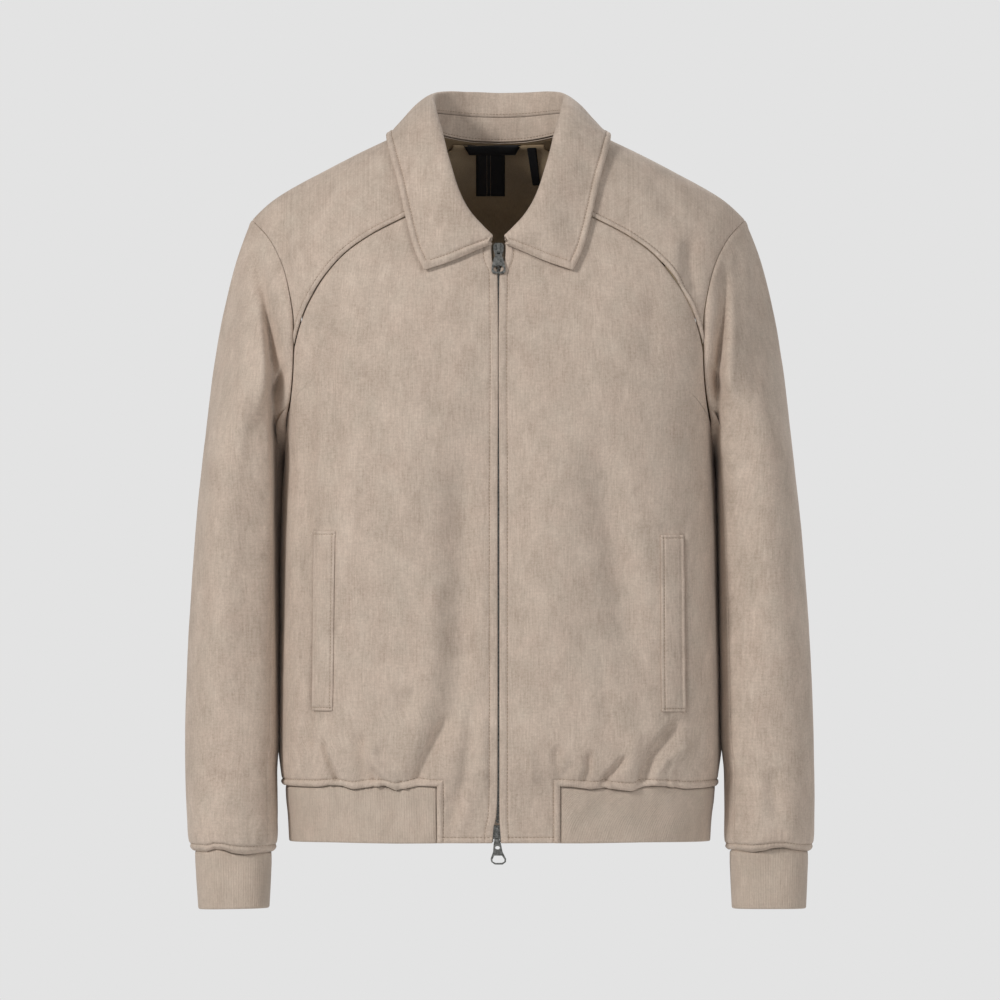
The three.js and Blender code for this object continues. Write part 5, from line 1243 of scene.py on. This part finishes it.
def cuff_wave(side, p):
    x = p[..., 0] / PX + 498.5
    front = np.interp(x, [q[0] for q in CUFF_WAVE[side]], [q[1] for q in CUFF_WAVE[side]]) * PX * 0.8
    back = 1.5 * noise(p * [1, 0, 0], (18, 50, 50), 81)
    return mix(front, back, smooth((p[..., 1] + 21) / 16 + 0.5))


def sleeve_part(side, arm, kind, turns, us_len):
    tail = "r" if side < 0 else "l"
    a, b = turns
    along_turn = np.linspace(0, 1, 300)
    rows_t = np.linspace(0, SLEEVE_ROWS, 600)
    line = run_of(arm.plain(np.full((600, 1), 0.1 if kind == "top" else 0.5), rows_t[:, None]), 0)[:, 0]
    vs = np.interp(graded(line[-1], PLAIN, SEWN, 2.6) * line[-1], line, rows_t)
    surface = lambda u, v: arm.plain(mix(a, b, u), v)
    U = even_out(surface, graded(us_len, PLAIN, PLAIN, 1.8 if kind == "top" else 2.6), vs, along_turn)
    T = mix(a, b, U)
    V = np.repeat(vs[:, None], U.shape[1], 1)
    P, N = arm.point(T, V)
    flat = smooth((V - (SLEEVE_ROWS - 0.6)) / 0.6)
    N = unit(N * np.stack([np.ones_like(flat), np.ones_like(flat), 1 - flat], -1))
    d_arm, d_low = nearest(P, dense(P[0])), np.maximum(P[..., 2] - SLEEVE_END_Z, 0)
    d_seam = np.minimum(nearest(P, dense(P[:, 0])), nearest(P, dense(P[:, -1])))
    in_front = smooth((-N[..., 1] + 0.15) / 0.3)
    d, back_ = np.zeros(T.shape), np.zeros(T.shape)
    for pts, deep, wide, wide2, ends in SLEEVE_STROKES[side]:
        back_ += stroke(P[..., 0], P[..., 2], pts, deep, wide, wide2, ends) * in_front
    q = T % 1
    for pts, deep, wide, wide2, ends in SLEEVE_BACK[side]:
        k = 330.0  # turns to millimetres
        d += stroke(q * k, P[..., 2], [(x * k, z) for x, z in pts], deep, wide * k, wide2 * k, ends, mm=True) * (1 - in_front)
    d += unevenness(P, 25 + side) * smooth(d_arm / 14)
    zz = P[..., 2]
    inmost = sleeve_at(np.clip(zz, -669, -305), 'inR' if side < 0 else 'inL')
    room = inmost - body_at(zz, 'half') - side * body_at(zz, 'shift')
    P = P - vec(side * (room - 0.3) * smooth((-side * N[..., 0] - 0.25) / 0.6) * smooth((-262 - zz) / 34) * smooth((zz + 598) / 40), 0, 0)
    d *= mix(0.25, 1, smooth(np.minimum(d_arm, d_seam) / 9))
    ease = noise(vec(q * 330, q * 0, q * 0), (7, 50, 50), 27 + side) * np.exp(-d_arm / 9) * 0.35
    d += ease + np.minimum(rolled(d_arm, 1.8, 0.9), rolled(d_seam, 2.2, 1.0)) + 0.5 * np.exp(-(((d_arm - 4) / 3) ** 2))
    gather = noise(vec(q * 330, q * 0, P[..., 2] * 0.3), (4.2, 50, 20), 84 + side) * smooth(noise(vec(q * 330, q * 0, q * 0), (20, 50, 50), 86 + side) * 1.6 + 0.4)
    d += gather * 1.7 * np.exp(-d_low / 9)
    d += rolled(d_low, 1.5, 0.7) + puff(d_low, 5.6, 1.3) + groove(d_low, 5.6, 0.8)
    thin = mix(0.4, 1, smooth(np.minimum(d_arm, d_seam) / 3))
    P = P + N * d[..., None]
    # beside the body the sleeve falls back behind its own front fold, in a deep dark pleat
    edge_y = [246, 262, 300, 340, 380, 420, 480, 560, 640, 700, 780]
    edge_x = [251, 255, 261, 265, 267.5, 269, 271, 273, 274.5, 276, 279] if side < 0 else [727, 726, 727, 725.5, 722.5, 720.5, 720, 719.5, 719.5, 720, 721]
    row_y = 139 - P[..., 2] / PX
    past = (P[..., 0] / PX + 498.5 - np.interp(row_y, edge_y, edge_x)) * -side
    drop_ = np.interp(row_y, [250, 290, 340, 400, 600, 700, 780, 800], [0, 8, 22, 34, 34, 26, 8, 0])
    back_ -= drop_ * smooth((past + 1.5) / 7.5) * in_front * smooth(d_arm / 34)
    P[..., 1] -= back_ * smooth(d_arm / 16)
    P[..., 2] -= cuff_wave(side, P) * np.exp(-d_low / 11)
    G = grid_normals(P)
    G = np.where((dot(G, N) < 0)[..., None], -G, G)
    outmost = sleeve_at(np.clip(zz, -669, -305), 'outR' if side < 0 else 'outL')
    turned = np.where(P[..., 1] < -8, side * P[..., 0] + P[..., 1], 2 * outmost - side * P[..., 0] + P[..., 1])
    cloth = vec(turned, -zz, q * 0)
    sunk = hollow(d + back_ * smooth(d_arm / 16), 3)
    under = unit(mix(N, np.array([0.0, -1.0, 0.0]), (0.93 * in_front * smooth(np.maximum(-back_ / 10, sunk / 5)))[..., None]))
    wall = CLOTH * thin + sunk * smooth(np.minimum(d_arm, d_low) / 8)
    ob = shell(f"sleeve_{kind}_{tail}_cloth", P, under, wall, [SUEDE, LINING], cloth=cloth)
    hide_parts(f"sleeve_{kind}_{tail}")
    l, n = iso(P, G, d_low, 5.6, 0, first=False)
    stitches("stitches_sleeves", l, n)


def cuff(side):
    tail = "r" if side < 0 else "l"
    turns = np.linspace(0, 1, 2001) + 0.5
    s = run_of(ring_at(side, turns, np.full(turns.shape, -700.0), cuff_at, CUFF_BULGE)[None], 1)[0]
    T = np.interp(np.linspace(0, s[-1], 131), s, turns)
    span = CUFF[0]["z"] - CUFF[-1]["z"]
    zs = CUFF[0]["z"] + 3 - graded(span + 3, PLAIN, PLAIN[:7], 2.2) * (span + 3)
    T, Z = np.meshgrid(T, zs)
    P = ring_at(side, T, Z, cuff_at, CUFF_BULGE)
    u = ring_at(side, T + 0.002, Z, cuff_at, CUFF_BULGE) - ring_at(side, T - 0.002, Z, cuff_at, CUFF_BULGE)
    N = unit(vec(u[..., 1], -u[..., 0], u[..., 0] * 0))
    centre = vec(np.full(T.shape, side * 251.0), np.full(T.shape, -21.5), Z)
    N = np.where((dot(N, P - centre) < 0)[..., None], -N, N)
    d_top, d_low = np.maximum(CUFF[0]["z"] - Z, 0), np.maximum(Z - CUFF[-1]["z"], 0)
    run = np.repeat(np.linspace(0, s[-1], T.shape[1])[None], T.shape[0], 0)
    d = 0.35 * noise(vec(run, run * 0, Z * 0.5), (14, 50, 30), 91 + side) * smooth(d_low / 20) * smooth(np.minimum(run, s[-1] - run) / 10)
    d += -1.0 - 0.7 * np.exp(-((d_top / 2.4) ** 2)) + 1.0 * smooth(d_top / 14)
    d -= 2.6 * smooth((Z - CUFF[0]["z"] + 0.9) / 2.0)
    wallt = fold_wall(d_low, RIB)
    P = P + N * (d - (RIB - wallt) / 2)[..., None]
    P[..., 2] -= cuff_wave(side, P) * np.exp(-d_top / 10)
    if side < 0:
        P[..., 2] += 0.018 * (P[..., 0] + 250) * smooth(1 - d_low / 30)
    P[:, -1] = P[:, 0]
    cloth = vec(run, -P[..., 2], run * 0)
    ob = shell(f"cuff_{tail}_knit", P, N, wallt, [BAND, BAND], wrap=True, cloth=cloth)
    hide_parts(f"cuff_{tail}")


# ------------------------------------------------------------------ collar
LEAF_CLEAR, LEAF_PUFF, STEPS = 2.6, 4.4, 13
roll_at = Through([{k: r[k] for k in ("s", "rx", "ry", "rz")} for r in COLLAR], "s")
low_edge = Through([{k: r[k] for k in ("s", "ex", "ez")} for r in COLLAR[:4]], "s")
side_edge = Through([{k: r[k] for k in ("s", "ex", "ez")} for r in COLLAR[3:]], "s")


def roll_point(side, s):
    s = np.clip(s, 0, STEPS)
    return vec(side * roll_at(s, "rx"), roll_at(s, "ry"), roll_at(s, "rz"))


def over_body(x, z):
    z = np.minimum(z, shoulder_at(np.abs(x), "z") - 0.3)
    out = []
    for face in (-1, 1):
        out.append(on_body(face, *body_param(face, x, z)))
    return out


def clear_of_body(p, least):
    (pf, nf), (pb, nb_) = over_body(p[..., 0], p[..., 2])
    front = (p[..., 1] < 0)[..., None]
    on, n = np.where(front, pf, pb), np.where(front, nf, nb_)
    gap = dot(p - on, n)
    return p + n * np.maximum(least - gap, 0)[..., None]


def collar():
    half = np.concatenate([np.linspace(0, 2.9, 46), [3.0], np.linspace(3.1, 13, 120)])
    # i runs from centre front of the wearer's right, over the back, to the wearer's left
    s = np.concatenate([half, half[-2::-1]])
    side = np.concatenate([-np.ones(len(half)), np.ones(len(half) - 1)])
    neck = np.zeros((len(s), 3))
    for sd in (-1, 1):
        f = on_body(-1, *_neck_front_param(sd, s))[0]
        b = on_body(1, *curve_param(1, sd, neck_back, np.clip(4 - (s - 9), 0, 4)))[0]
        pick = np.where((s <= 9)[:, None], f, b)
        neck = np.where((side == sd)[:, None], pick, neck)
    roll = roll_point(side, s)
    ex = side * np.where(s <= 3, low_edge(s, "ex"), side_edge(s, "ex"))
    ez = np.where(s <= 3, low_edge(s, "ez"), side_edge(s, "ez"))
    (pf, nf), (pb, nb_) = over_body(ex, ez)
    k = smooth((s - 8.9) / 0.2)[:, None]
    edge = mix(pf + nf * LEAF_CLEAR, pb + nb_ * LEAF_CLEAR, k)
    share = mix(0.36, 0.52, smooth((s - 3) / 7))[:, None]
    seam = mix(neck, roll, share)
    up = unit(roll - neck)
    onward = (roll_point(side, s + 0.5) - roll_point(side, s - 0.5)) * np.where(side < 0, 1, -1)[:, None]
    mid = len(half) - 1
    onward[mid] = (1, 0, 0)
    fold = unit(np.cross(up, onward))
    crest = roll + up * 0.6 + fold * 2.6
    reach = np.linalg.norm(crest - edge, axis=1, keepdims=True)
    first = seam + up * 0.65
    control = [first, mix(first, roll, 0.5), roll, roll + up * 1.2 + fold * 1.1]
    for j in range(1, 7):
        t = ((j - 0.55) / 5.45) ** 1.15
        if j == 6:
            control.append(edge)
            break
        p = mix(crest, edge, t) + fold * 0.16 * np.minimum(reach, 30) * math.sin(math.pi * t ** 0.7) * (1 - t)
        control.append(clear_of_body(p, mix(LEAF_PUFF, LEAF_CLEAR, t)))
    control = np.stack(control)  # station down, column, xyz
    knots = np.concatenate([[np.zeros(len(s))], np.cumsum(np.linalg.norm(np.diff(control, axis=0), axis=2), axis=0)])
    counts = [4, 5, 4, 4, 6, 6, 6, 8, 18]
    lines = []
    K = len(control)
    slope = np.empty_like(control)
    for j in range(K):
        a, b = max(0, j - 1), min(K - 1, j + 1)
        slope[j] = (control[b] - control[a]) / np.maximum(knots[b] - knots[a], 1e-6)[:, None]
    for j in range(K - 1):
        h = (knots[j + 1] - knots[j])[:, None]
        for q in range(counts[j]):
            t = q / counts[j]
            t2, t3 = t * t, t * t * t
            lines.append((2 * t3 - 3 * t2 + 1) * control[j] + (t3 - 2 * t2 + t) * h * slope[j] + (3 * t2 - 2 * t3) * control[j + 1] + (t3 - t2) * h * slope[j + 1])
    # the last stretch again, finer toward the free edge
    lines.append(control[-1])
    P = np.stack(lines)
    inner_rows = counts[0] + counts[1]
    N = -grid_normals(P)
    ref = np.broadcast_to(-fold, P.shape)
    # outward is away from the fold's inside: toward the neck's middle before the roll, away from it after
    want = P[inner_rows + 8:, mid] - P[:1, mid]
    if dot(N[inner_rows + 14, mid], np.array([0, 1.0, 0])) < 0:
        N = -N
    d_low = nearest(P, dense(np.concatenate([P[-1][(s <= 3) & (side < 0)]]))) if False else None
    lower_r, lower_l = P[-1][(s <= 3.001) & (side < 0)], P[-1][(s <= 3.001) & (side > 0)]
    sides = P[-1][(s >= 2.999)]
    d_lower = np.minimum(nearest(P, dense(lower_r)), nearest(P, dense(lower_l)))
    first_half, second_half = P[-1][(s >= 2.999) & (side < 0)], P[-1][(s >= 2.999) & (side > 0)]
    d_sides = np.minimum(nearest(P, dense(first_half)), nearest(P, dense(second_half)))
    d_free = np.minimum(d_lower, d_sides)
    leaf = np.zeros(P.shape[:2])
    leaf[inner_rows + 4:] = 1
    q = np.minimum(d_sides - 6.0, np.where((s <= 5)[None] & (d_lower < 40), d_lower - 7.3, 99))
    rowsn = np.arange(P.shape[0])[:, None] * np.ones(len(s))[None]
    relief_d = 0.55 * noise(P, (38, 38, 30), 41) + 0.25 * noise(P, (15, 15, 15), 42)
    relief_d += stroke(P[..., 0], P[..., 2], [(424, 135), (412, 175), (428, 215)], -0.9, 9, 9, (0, 0)) * leaf
    relief_d += stroke(P[..., 0], P[..., 2], [(578, 150), (592, 185), (572, 225)], -0.8, 9, 9, (0, 0)) * leaf
    relief_d += stroke(P[..., 0], P[..., 2], [(446, 128), (456, 170), (470, 205)], 0.7, 7, 7, (0, 0)) * leaf
    d = relief_d * smooth(d_free / 10) * 1.0
    d += leaf * (groove(q, 0, 0.85, 0.95) + 0.95 * np.where(q < 0, np.sin(np.pi * np.clip((q + 6.0) / 6.0, 0, 1)), 0))
    run_in = run_of(P, 0)
    d_stand = run_in
    d += rolled(d_stand, 1.4, 0.35) + groove(d_stand, 3.0, 0.5, 0.7) * (1 - leaf)
    ends = np.minimum(np.abs(np.arange(len(s)) * 0.0 + run_of(P, 1)), run_of(P, 1)[:, -1:] - run_of(P, 1))
    wallt = np.minimum(fold_wall(d_free * leaf + 9 * (1 - leaf), FALL_WALL, 1.7), fold_wall(ends, FALL_WALL, 1.5))
    outer = P + N * ((FALL_WALL + wallt) / 2 + d)[..., None]
    G = grid_normals(outer)
    G = np.where((dot(G, N) < 0)[..., None], -G, G)
    across = run_of(P, 1)
    cloth = vec(P[..., 0], -P[..., 2] + P[..., 1] * 0.3, run_in * 0)
    ob = shell("collar_fall_cloth", outer, N, wallt + d, [SUEDE, SUEDE], keep_cols=[int(np.nonzero(half == 3.0)[0][0]), len(s) - 1 - int(np.nonzero(half == 3.0)[0][0])], cloth=cloth)
    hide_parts("collar_fall")
    l, n = iso(outer, G, q * leaf + 20 * (1 - leaf), 0, 0, first=False, cols=range(3, len(s) - 3))
    stitches("stitches_collar", l, n, pitch=3.1, size=2.1)
    cols = range(2, len(s) - 2)
    l, n = iso(outer[:inner_rows], G[:inner_rows], d_stand[:inner_rows], 3.0, 0, cols=cols)
    stitches("stitches_collar", l, n, pitch=3.1, size=2.1)
    # the stand
    ts = graded(16, [0, 0.3, 0.8, 1.6], [0, 0.3, 0.8, 1.6, 2.6, 3.6], 1.6)[:, None, None]
    S = mix((neck + up * 0.3)[None], (seam + up * 0.3)[None], ts)
    NS = -grid_normals(S)
    if dot(NS[len(ts) // 2, mid], np.array([0, -1.0, 0])) < 0:
        NS = -NS
    ds_low, ds_top = run_of(S, 0), run_of(S, 0)[-1:] - run_of(S, 0)
    ds = 0.3 * noise(S, (30, 30, 20), 43) + rolled(ds_low, 1.2, 0.3) + rolled(ds_top, 1.2, 0.3) + groove(ds_top, 2.6, 0.3, 0.6) + groove(ds_low, 2.4, 0.3, 0.6)
    So = S + NS * (STAND_WALL + ds)[..., None]
    ob = shell("collar_stand_cloth", So, NS, STAND_WALL + ds, [SUEDE, SUEDE], cloth=vec(across[:1] - across[:1, mid:mid + 1] + 0 * ds, ds_low, 0 * ds))
    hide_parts("collar_stand")
    GS = np.where((dot(grid_normals(So), NS) < 0)[..., None], -grid_normals(So), grid_normals(So))
    l, n = iso(So, GS, ds_low, 2.4, 0, cols=cols)
    stitches("stitches_collar", l, n, pitch=3.1, size=2.1)


def _neck_front_param(side, s):
    row = np.where(s <= 4, 6 - 3 * np.clip(s, 0, 4) / 4, 3 - 3 * (np.clip(s, 4, 9) - 4) / 5)
    phi, w = curve_param(-1, side, neck_front, row)
    return phi, np.where(row < 1e-6, 0, w)


# ------------------------------------------------------------------ small cloth pieces
def lie_on(face, x, z, outer, relief_fn=None):
    phi, w = body_param(face, x, z)
    p, n = on_body(face, phi, w)
    k = outer if relief_fn is None else outer + relief_fn(p)
    return p + n * np.asarray(k)[..., None], n


def welt(spec):
    width, height = 21.5, abs(spec["lowZ"] - spec["topZ"])
    us = graded(width, SEWN[:9], SEWN[:9], 1.2)
    vs = graded(height, SEWN[:12], SEWN[:12], 2.4)
    U, V = np.meshgrid(us, vs)
    z = mix(spec["topZ"], spec["lowZ"], V)
    x = mix(mix(spec["topOut"], spec["lowOut"], V), mix(spec["topIn"], spec["lowIn"], V), U)
    d_out, d_in = U * width, (1 - U) * width
    d_end = np.minimum(V, 1 - V) * height
    waver = 0.5 * noise(vec(z, z * 0, z * 0), (24, 50, 50), 51 + spec["side"])
    x = x + spec["side"] * waver * np.exp(-d_out / 4)
    up = 1.9 + 0.35 * np.sin(np.pi * U) + 0.3 * noise(vec(x, z, x * 0), (9, 17, 50), 55) * smooth(np.minimum(d_end, d_out) / 4)
    up = up + groove(d_in, 2.6, 0.45, 0.8) + groove(d_end, 3.0, 0.45, 0.8) + 0.9 * np.exp(-((d_out / 3.4) ** 2))
    up = up - 0.6 * np.exp(-((d_in / 1.3) ** 2)) + groove(d_out, 3.2, 1.1, 0.75) + groove(d_in, 2.6, 0.5, 0.6) + groove(d_end, 3.0, 0.5, 0.7)
    P, N = lie_on(-1, x, z, up, front_relief)
    wallt = fold_wall(np.minimum(d_out, d_end), 1.5, 1.1)
    P = P - N * ((1.5 - wallt) / 2)[..., None]
    G = grid_normals(P)
    G = np.where((dot(G, N) < 0)[..., None], -G, G)
    ob = shell(spec["name"] + "_cloth", P, N, wallt, [SUEDE, SUEDE], cloth=vec(x + 77, -z, x * 0))
    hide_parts(spec["name"])
    l, n = iso(P, G, d_in, 2.6, 1, first=False, cols=[k for k in range(len(vs)) if 1 < d_end[k, 0]])
    stitches("stitches_front", l, n, pitch=3.0, size=2.1)
    for first in (True, False):
        dd = V * height if first else (1 - V) * height
        l, n = iso(P, G, dd, 3.0, 0, first=first, cols=range(2, len(us) - 3))
        stitches("stitches_front", l, n, pitch=3.0, size=2.1)
    return ob


LINING_AT = []


def lining_back():
    rows_z = [-3.0, -16, -36, -66, -110, -190, -290, -400, -500, -596]
    zs = np.concatenate([np.linspace(-0.3, -66, 40), np.linspace(-66, -596, 90)[1:]])
    reach = np.minimum(158, np.interp(-zs, [-q for q in reversed(rows_z[::-1])], [min(158, 38 - 1.75 * z if z > -66 else 162 if z > -320 else 178) for z in rows_z]))
    U = np.linspace(-1, 1, 97)
    x = reach[:, None] * U[None]
    z = np.minimum(zs[:, None], shoulder_at(np.abs(x), "z") - 12 + 0 * x)
    phi, w = body_param(1, x, z)
    p, n = on_body(1, phi, w)
    gap = mix(2.1, CLOTH + 3.4 + 1.4 * smooth(1 + zs / 70)[:, None], smooth(-zs / 26)[:, None])
    wrinkle = 0.7 * noise(p, (26, 26, 60), 61) + 0.3 * noise(p, (9, 9, 26), 62)
    for sx, top, low in ((-44, -12, -90), (-58, -20, -80), (36, -10, -100), (52, -18, -84), (-8, -60, -170), (14, -64, -150)):
        wrinkle += stroke(x, z, [(sx, top), (sx * 0.8, (top + low) / 2), (sx * 0.7, low)], -0.9, 4, 5, (0.5, 0), mm=True)
    P = p - n * (gap + 0.2 - np.minimum(wrinkle, 1.0) * 0.9)[..., None]
    LINING_AT.append(P[:70].reshape(-1, 3))
    ob = shell("lining_back_cloth", P, n, 1.0, [LINING, LINING], cloth=arc(P))
    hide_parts("lining_back")
    return ob


PATCH = [
    dict(name="label_loop", top=(-21.4, 6.1), low=(-21.4, 6.1), topZ=-7, lowZ=-50, lift=1.6),
    dict(name="label_main", top=(-33.7, 21.7), low=(-27.7, 15.9), topZ=-2.4, lowZ=-11.8, lift=3.6),
    dict(name="label_size", top=(26.4, 35.6), low=(32.5, 39.8), topZ=-2.4, lowZ=-39.9, lift=1.6),
]


def label(spec):
    us, vs = np.linspace(0, 1, 25), np.linspace(0, 1, 25 if spec["name"] != "label_main" else 9)
    U, V = np.meshgrid(us, vs)
    x = mix(mix(spec["top"][0], spec["low"][0], V), mix(spec["top"][1], spec["low"][1], V), U)
    z = mix(spec["topZ"], spec["lowZ"], V)
    curl = 0.5 * V ** 2 * np.sin(np.pi * U) + 0.25 * noise(vec(x, z, x * 0), (14, 20, 50), 66)
    spots = LINING_AT[0]
    far2 = (x[..., None] - spots[:, 0]) ** 2 + (z[..., None] - spots[:, 2]) ** 2
    weight = np.exp(-(far2 - far2.min(-1, keepdims=True)) / 18)
    p = vec(x, (weight * spots[:, 1]).sum(-1) / weight.sum(-1), z)
    n = np.zeros_like(p)
    n[..., 1] = 1
    off = {"label_main": 4.6, "label_loop": 2.6, "label_size": 2.8}[spec["name"]] + curl * (spec["name"] != "label_main")
    width = abs(spec["top"][1] - spec["top"][0])
    edge = np.minimum(np.minimum(U, 1 - U) * width, np.minimum(V, 1 - V) * abs(spec["lowZ"] - spec["topZ"]))
    wallt = fold_wall(edge, 1.0, 0.8)
    P = p - n * (off - 1 + (1 - wallt) / 2 * 0)[..., None]
    ob = shell(spec["name"] + "_cloth", P, n, wallt, [LABEL, LABEL], cloth=arc(P))
    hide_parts(spec["name"])
    if spec["name"] == "label_loop":
        front = P - n * 1.02
        for at in (0.39, 0.52):
            k = int(round(at * 24))
            stitches("stitches_label", front[:, k], -n[:, k], pitch=2.0, size=1.7, radius=0.22, lift=0.05)
    return ob


# ------------------------------------------------------------------ zip
def surface_y(x, z):
    x, z = np.broadcast_arrays(np.asarray(x, float), np.asarray(z, float))
    return on_body(-1, *body_param(-1, x, z))[0][..., 1]


def behind_at(z):
    return CLOTH + 0.9 + 2.3 * smooth((-626 - z) / 16)


def chain_x(z):
    return (edge_at(z, "l") - edge_at(z, "r")) / 2


def zip_tape(name, xa, xb):
    zs = np.linspace(-98, HEM_Z + 1, 260)
    us = graded(abs(xb - xa), [0, 0.3, 0.8], [0, 0.3, 0.8], 1.4)
    U, Z = np.meshgrid(us, zs)
    at = chain_x(Z) + mix(xa, xb, U)
    y = surface_y(at, Z) + behind_at(Z) + 0.6
    y = y - zip_dip(vec(at, y, Z))
    P = vec(at, y, Z)
    N = np.zeros_like(P)
    N[..., 1] = -1
    inner = xb if name.endswith("_r") else xa
    bead = 0.45 * np.exp(-(((at - chain_x(Z) - inner) / 1.1) ** 2))
    P = P + N * bead[..., None]
    ob = shell(name + "_woven", P, N, 1.0, [TAPE, TAPE], cloth=vec(at, -Z, at * 0))
    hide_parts(name)
    return ob


def zip_teeth():
    verts, faces = [], []
    zs = np.arange(-113.2, -642.0, -1.5)
    for k, z in enumerate(zs):
        sx = -1 if k % 2 else 1
        x0 = float(chain_x(z))
        y = float(surface_y(x0, z) + behind_at(z)) - float(zip_dip(np.array([x0, 0.0, z])))
        # a tooth: a broad head near the middle and a narrower root in the tape
        outline = [(-0.9, 0.62), (1.0, 0.86), (2.6, 0.62), (2.6, -0.62), (1.0, -0.86), (-0.9, -0.62)]
        o = len(verts)
        for yy, shrink in ((-0.25, 0.72), (0.35, 1.0), (1.9, 1.0), (2.3, 0.72)):
            for px_, pz in outline:
                verts.append((x0 + sx * (1.0 + (px_ - 1.0) * (0.9 + 0.1 * shrink)), y + yy, z + pz * shrink * 0.98))
        m = len(outline)
        for q in range(3):
            for i in range(m):
                j = (i + 1) % m
                f = [o + q * m + i, o + q * m + j, o + (q + 1) * m + j, o + (q + 1) * m + i]
                faces.append(f if sx > 0 else f[::-1])
        a, b = [o + i for i in range(m)], [o + 3 * m + i for i in range(m)]
        faces.append(a[::-1] if sx > 0 else a)
        faces.append(b if sx > 0 else b[::-1])
    ob = new_object("zip_teeth", np.array(verts), faces, [METAL], smooth_faces=False)
    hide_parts("zip_chain")
    return ob


# ------------------------------------------------------------------ build
for sd in (-1, 1):
    front_panel(sd)
    yoke_panel(sd)
back_panel()
hem_band()
for sd in (-1, 1):
    arm = Arm(sd)
    sleeve_part(sd, arm, "top", (12 / 18 - 1, 7 / 18), 260)
    sleeve_part(sd, arm, "under", (7 / 18, 12 / 18), 100)
    cuff(sd)
collar()
for spec in WELT:
    welt(spec)
lining_back()
for spec in PATCH:
    label(spec)
zip_tape("zip_tape_r", -3.1 - 14, -3.1)
zip_tape("zip_tape_l", 3.1, 3.1 + 14)
zip_teeth()
for group, (verts, faces) in STITCHES.items():
    ob = new_object(group, np.concatenate(verts), faces, [THREAD])
for name in ("slider_top", "slider_bottom", "pull_top", "pull_bottom"):
    for m in NODES[name].material_slots:
        m.material = METAL

# ------------------------------------------------------------------ what each piece of cloth was cut to
print("AREAS", {k: round(v, 5) for k, v in AREAS.items()})

# ------------------------------------------------------------------ light and surroundings
world = bpy.data.worlds.new("world")
scene.world = world
world.use_nodes = True
wt = world.node_tree
back = wt.nodes["Background"]
back.inputs["Color"].default_value = srgb(227, 227, 227)
back.inputs["Strength"].default_value = 1.0
soft = wt.nodes.new("ShaderNodeBackground")
soft.inputs["Color"].default_value = (1.0, 0.985, 0.97, 1.0)
soft.inputs["Strength"].default_value = 0.33
path = wt.nodes.new("ShaderNodeLightPath")
both = wt.nodes.new("ShaderNodeMixShader")
wt.links.new(path.outputs["Is Camera Ray"], both.inputs["Fac"])
wt.links.new(soft.outputs[0], both.inputs[1])
wt.links.new(back.outputs[0], both.inputs[2])
wt.links.new(both.outputs[0], wt.nodes["World Output"].inputs["Surface"])


def area_light(name, place, aim, size, energy, colour=(1, 1, 1)):
    data = bpy.data.lights.new(name, "AREA")
    data.shape, data.size, data.energy, data.color = "DISK", size, energy, colour
    ob = bpy.data.objects.new(name, data)
    scene.collection.objects.link(ob)
    ob.location = place
    way = np.array(aim, float) - np.array(place, float)
    ob.rotation_euler = Vector(way).to_track_quat("-Z", "Y").to_euler()
    return ob


area_light("key", (-3.0, -2.8, 1.7), (0, 0, -0.35), 0.85, 116, (1.0, 0.985, 0.965))
area_light("fill", (2.6, -3.3, 0.7), (0, 0, -0.35), 1.8, 40, (0.98, 0.99, 1.0))
area_light("behind", (0.8, 3.0, 1.4), (0, 0, -0.3), 2.2, 60)

floor_mat = Nodes("floor")
pos = floor_mat.add("ShaderNodeTexCoord").outputs["Object"]
floor_mat.link(floor_mat.ramp(floor_mat.noise(pos, 3, 2), [(0.3, srgb(222, 222, 222)), (0.7, srgb(229, 229, 229))]), floor_mat.bsdf.inputs["Base Color"])
floor_mat.bsdf.inputs["Roughness"].default_value = 0.9
ring = [(math.cos(a) * 1.9, math.sin(a) * 1.9, -1.15) for a in np.linspace(0, 2 * math.pi, 97)[:-1]]
mesh = bpy.data.meshes.new("floor")
mesh.from_pydata(ring, [], [list(range(96))])
mesh.materials.append(floor_mat.mat)
floor = bpy.data.objects.new("floor", mesh)
scene.collection.objects.link(floor)
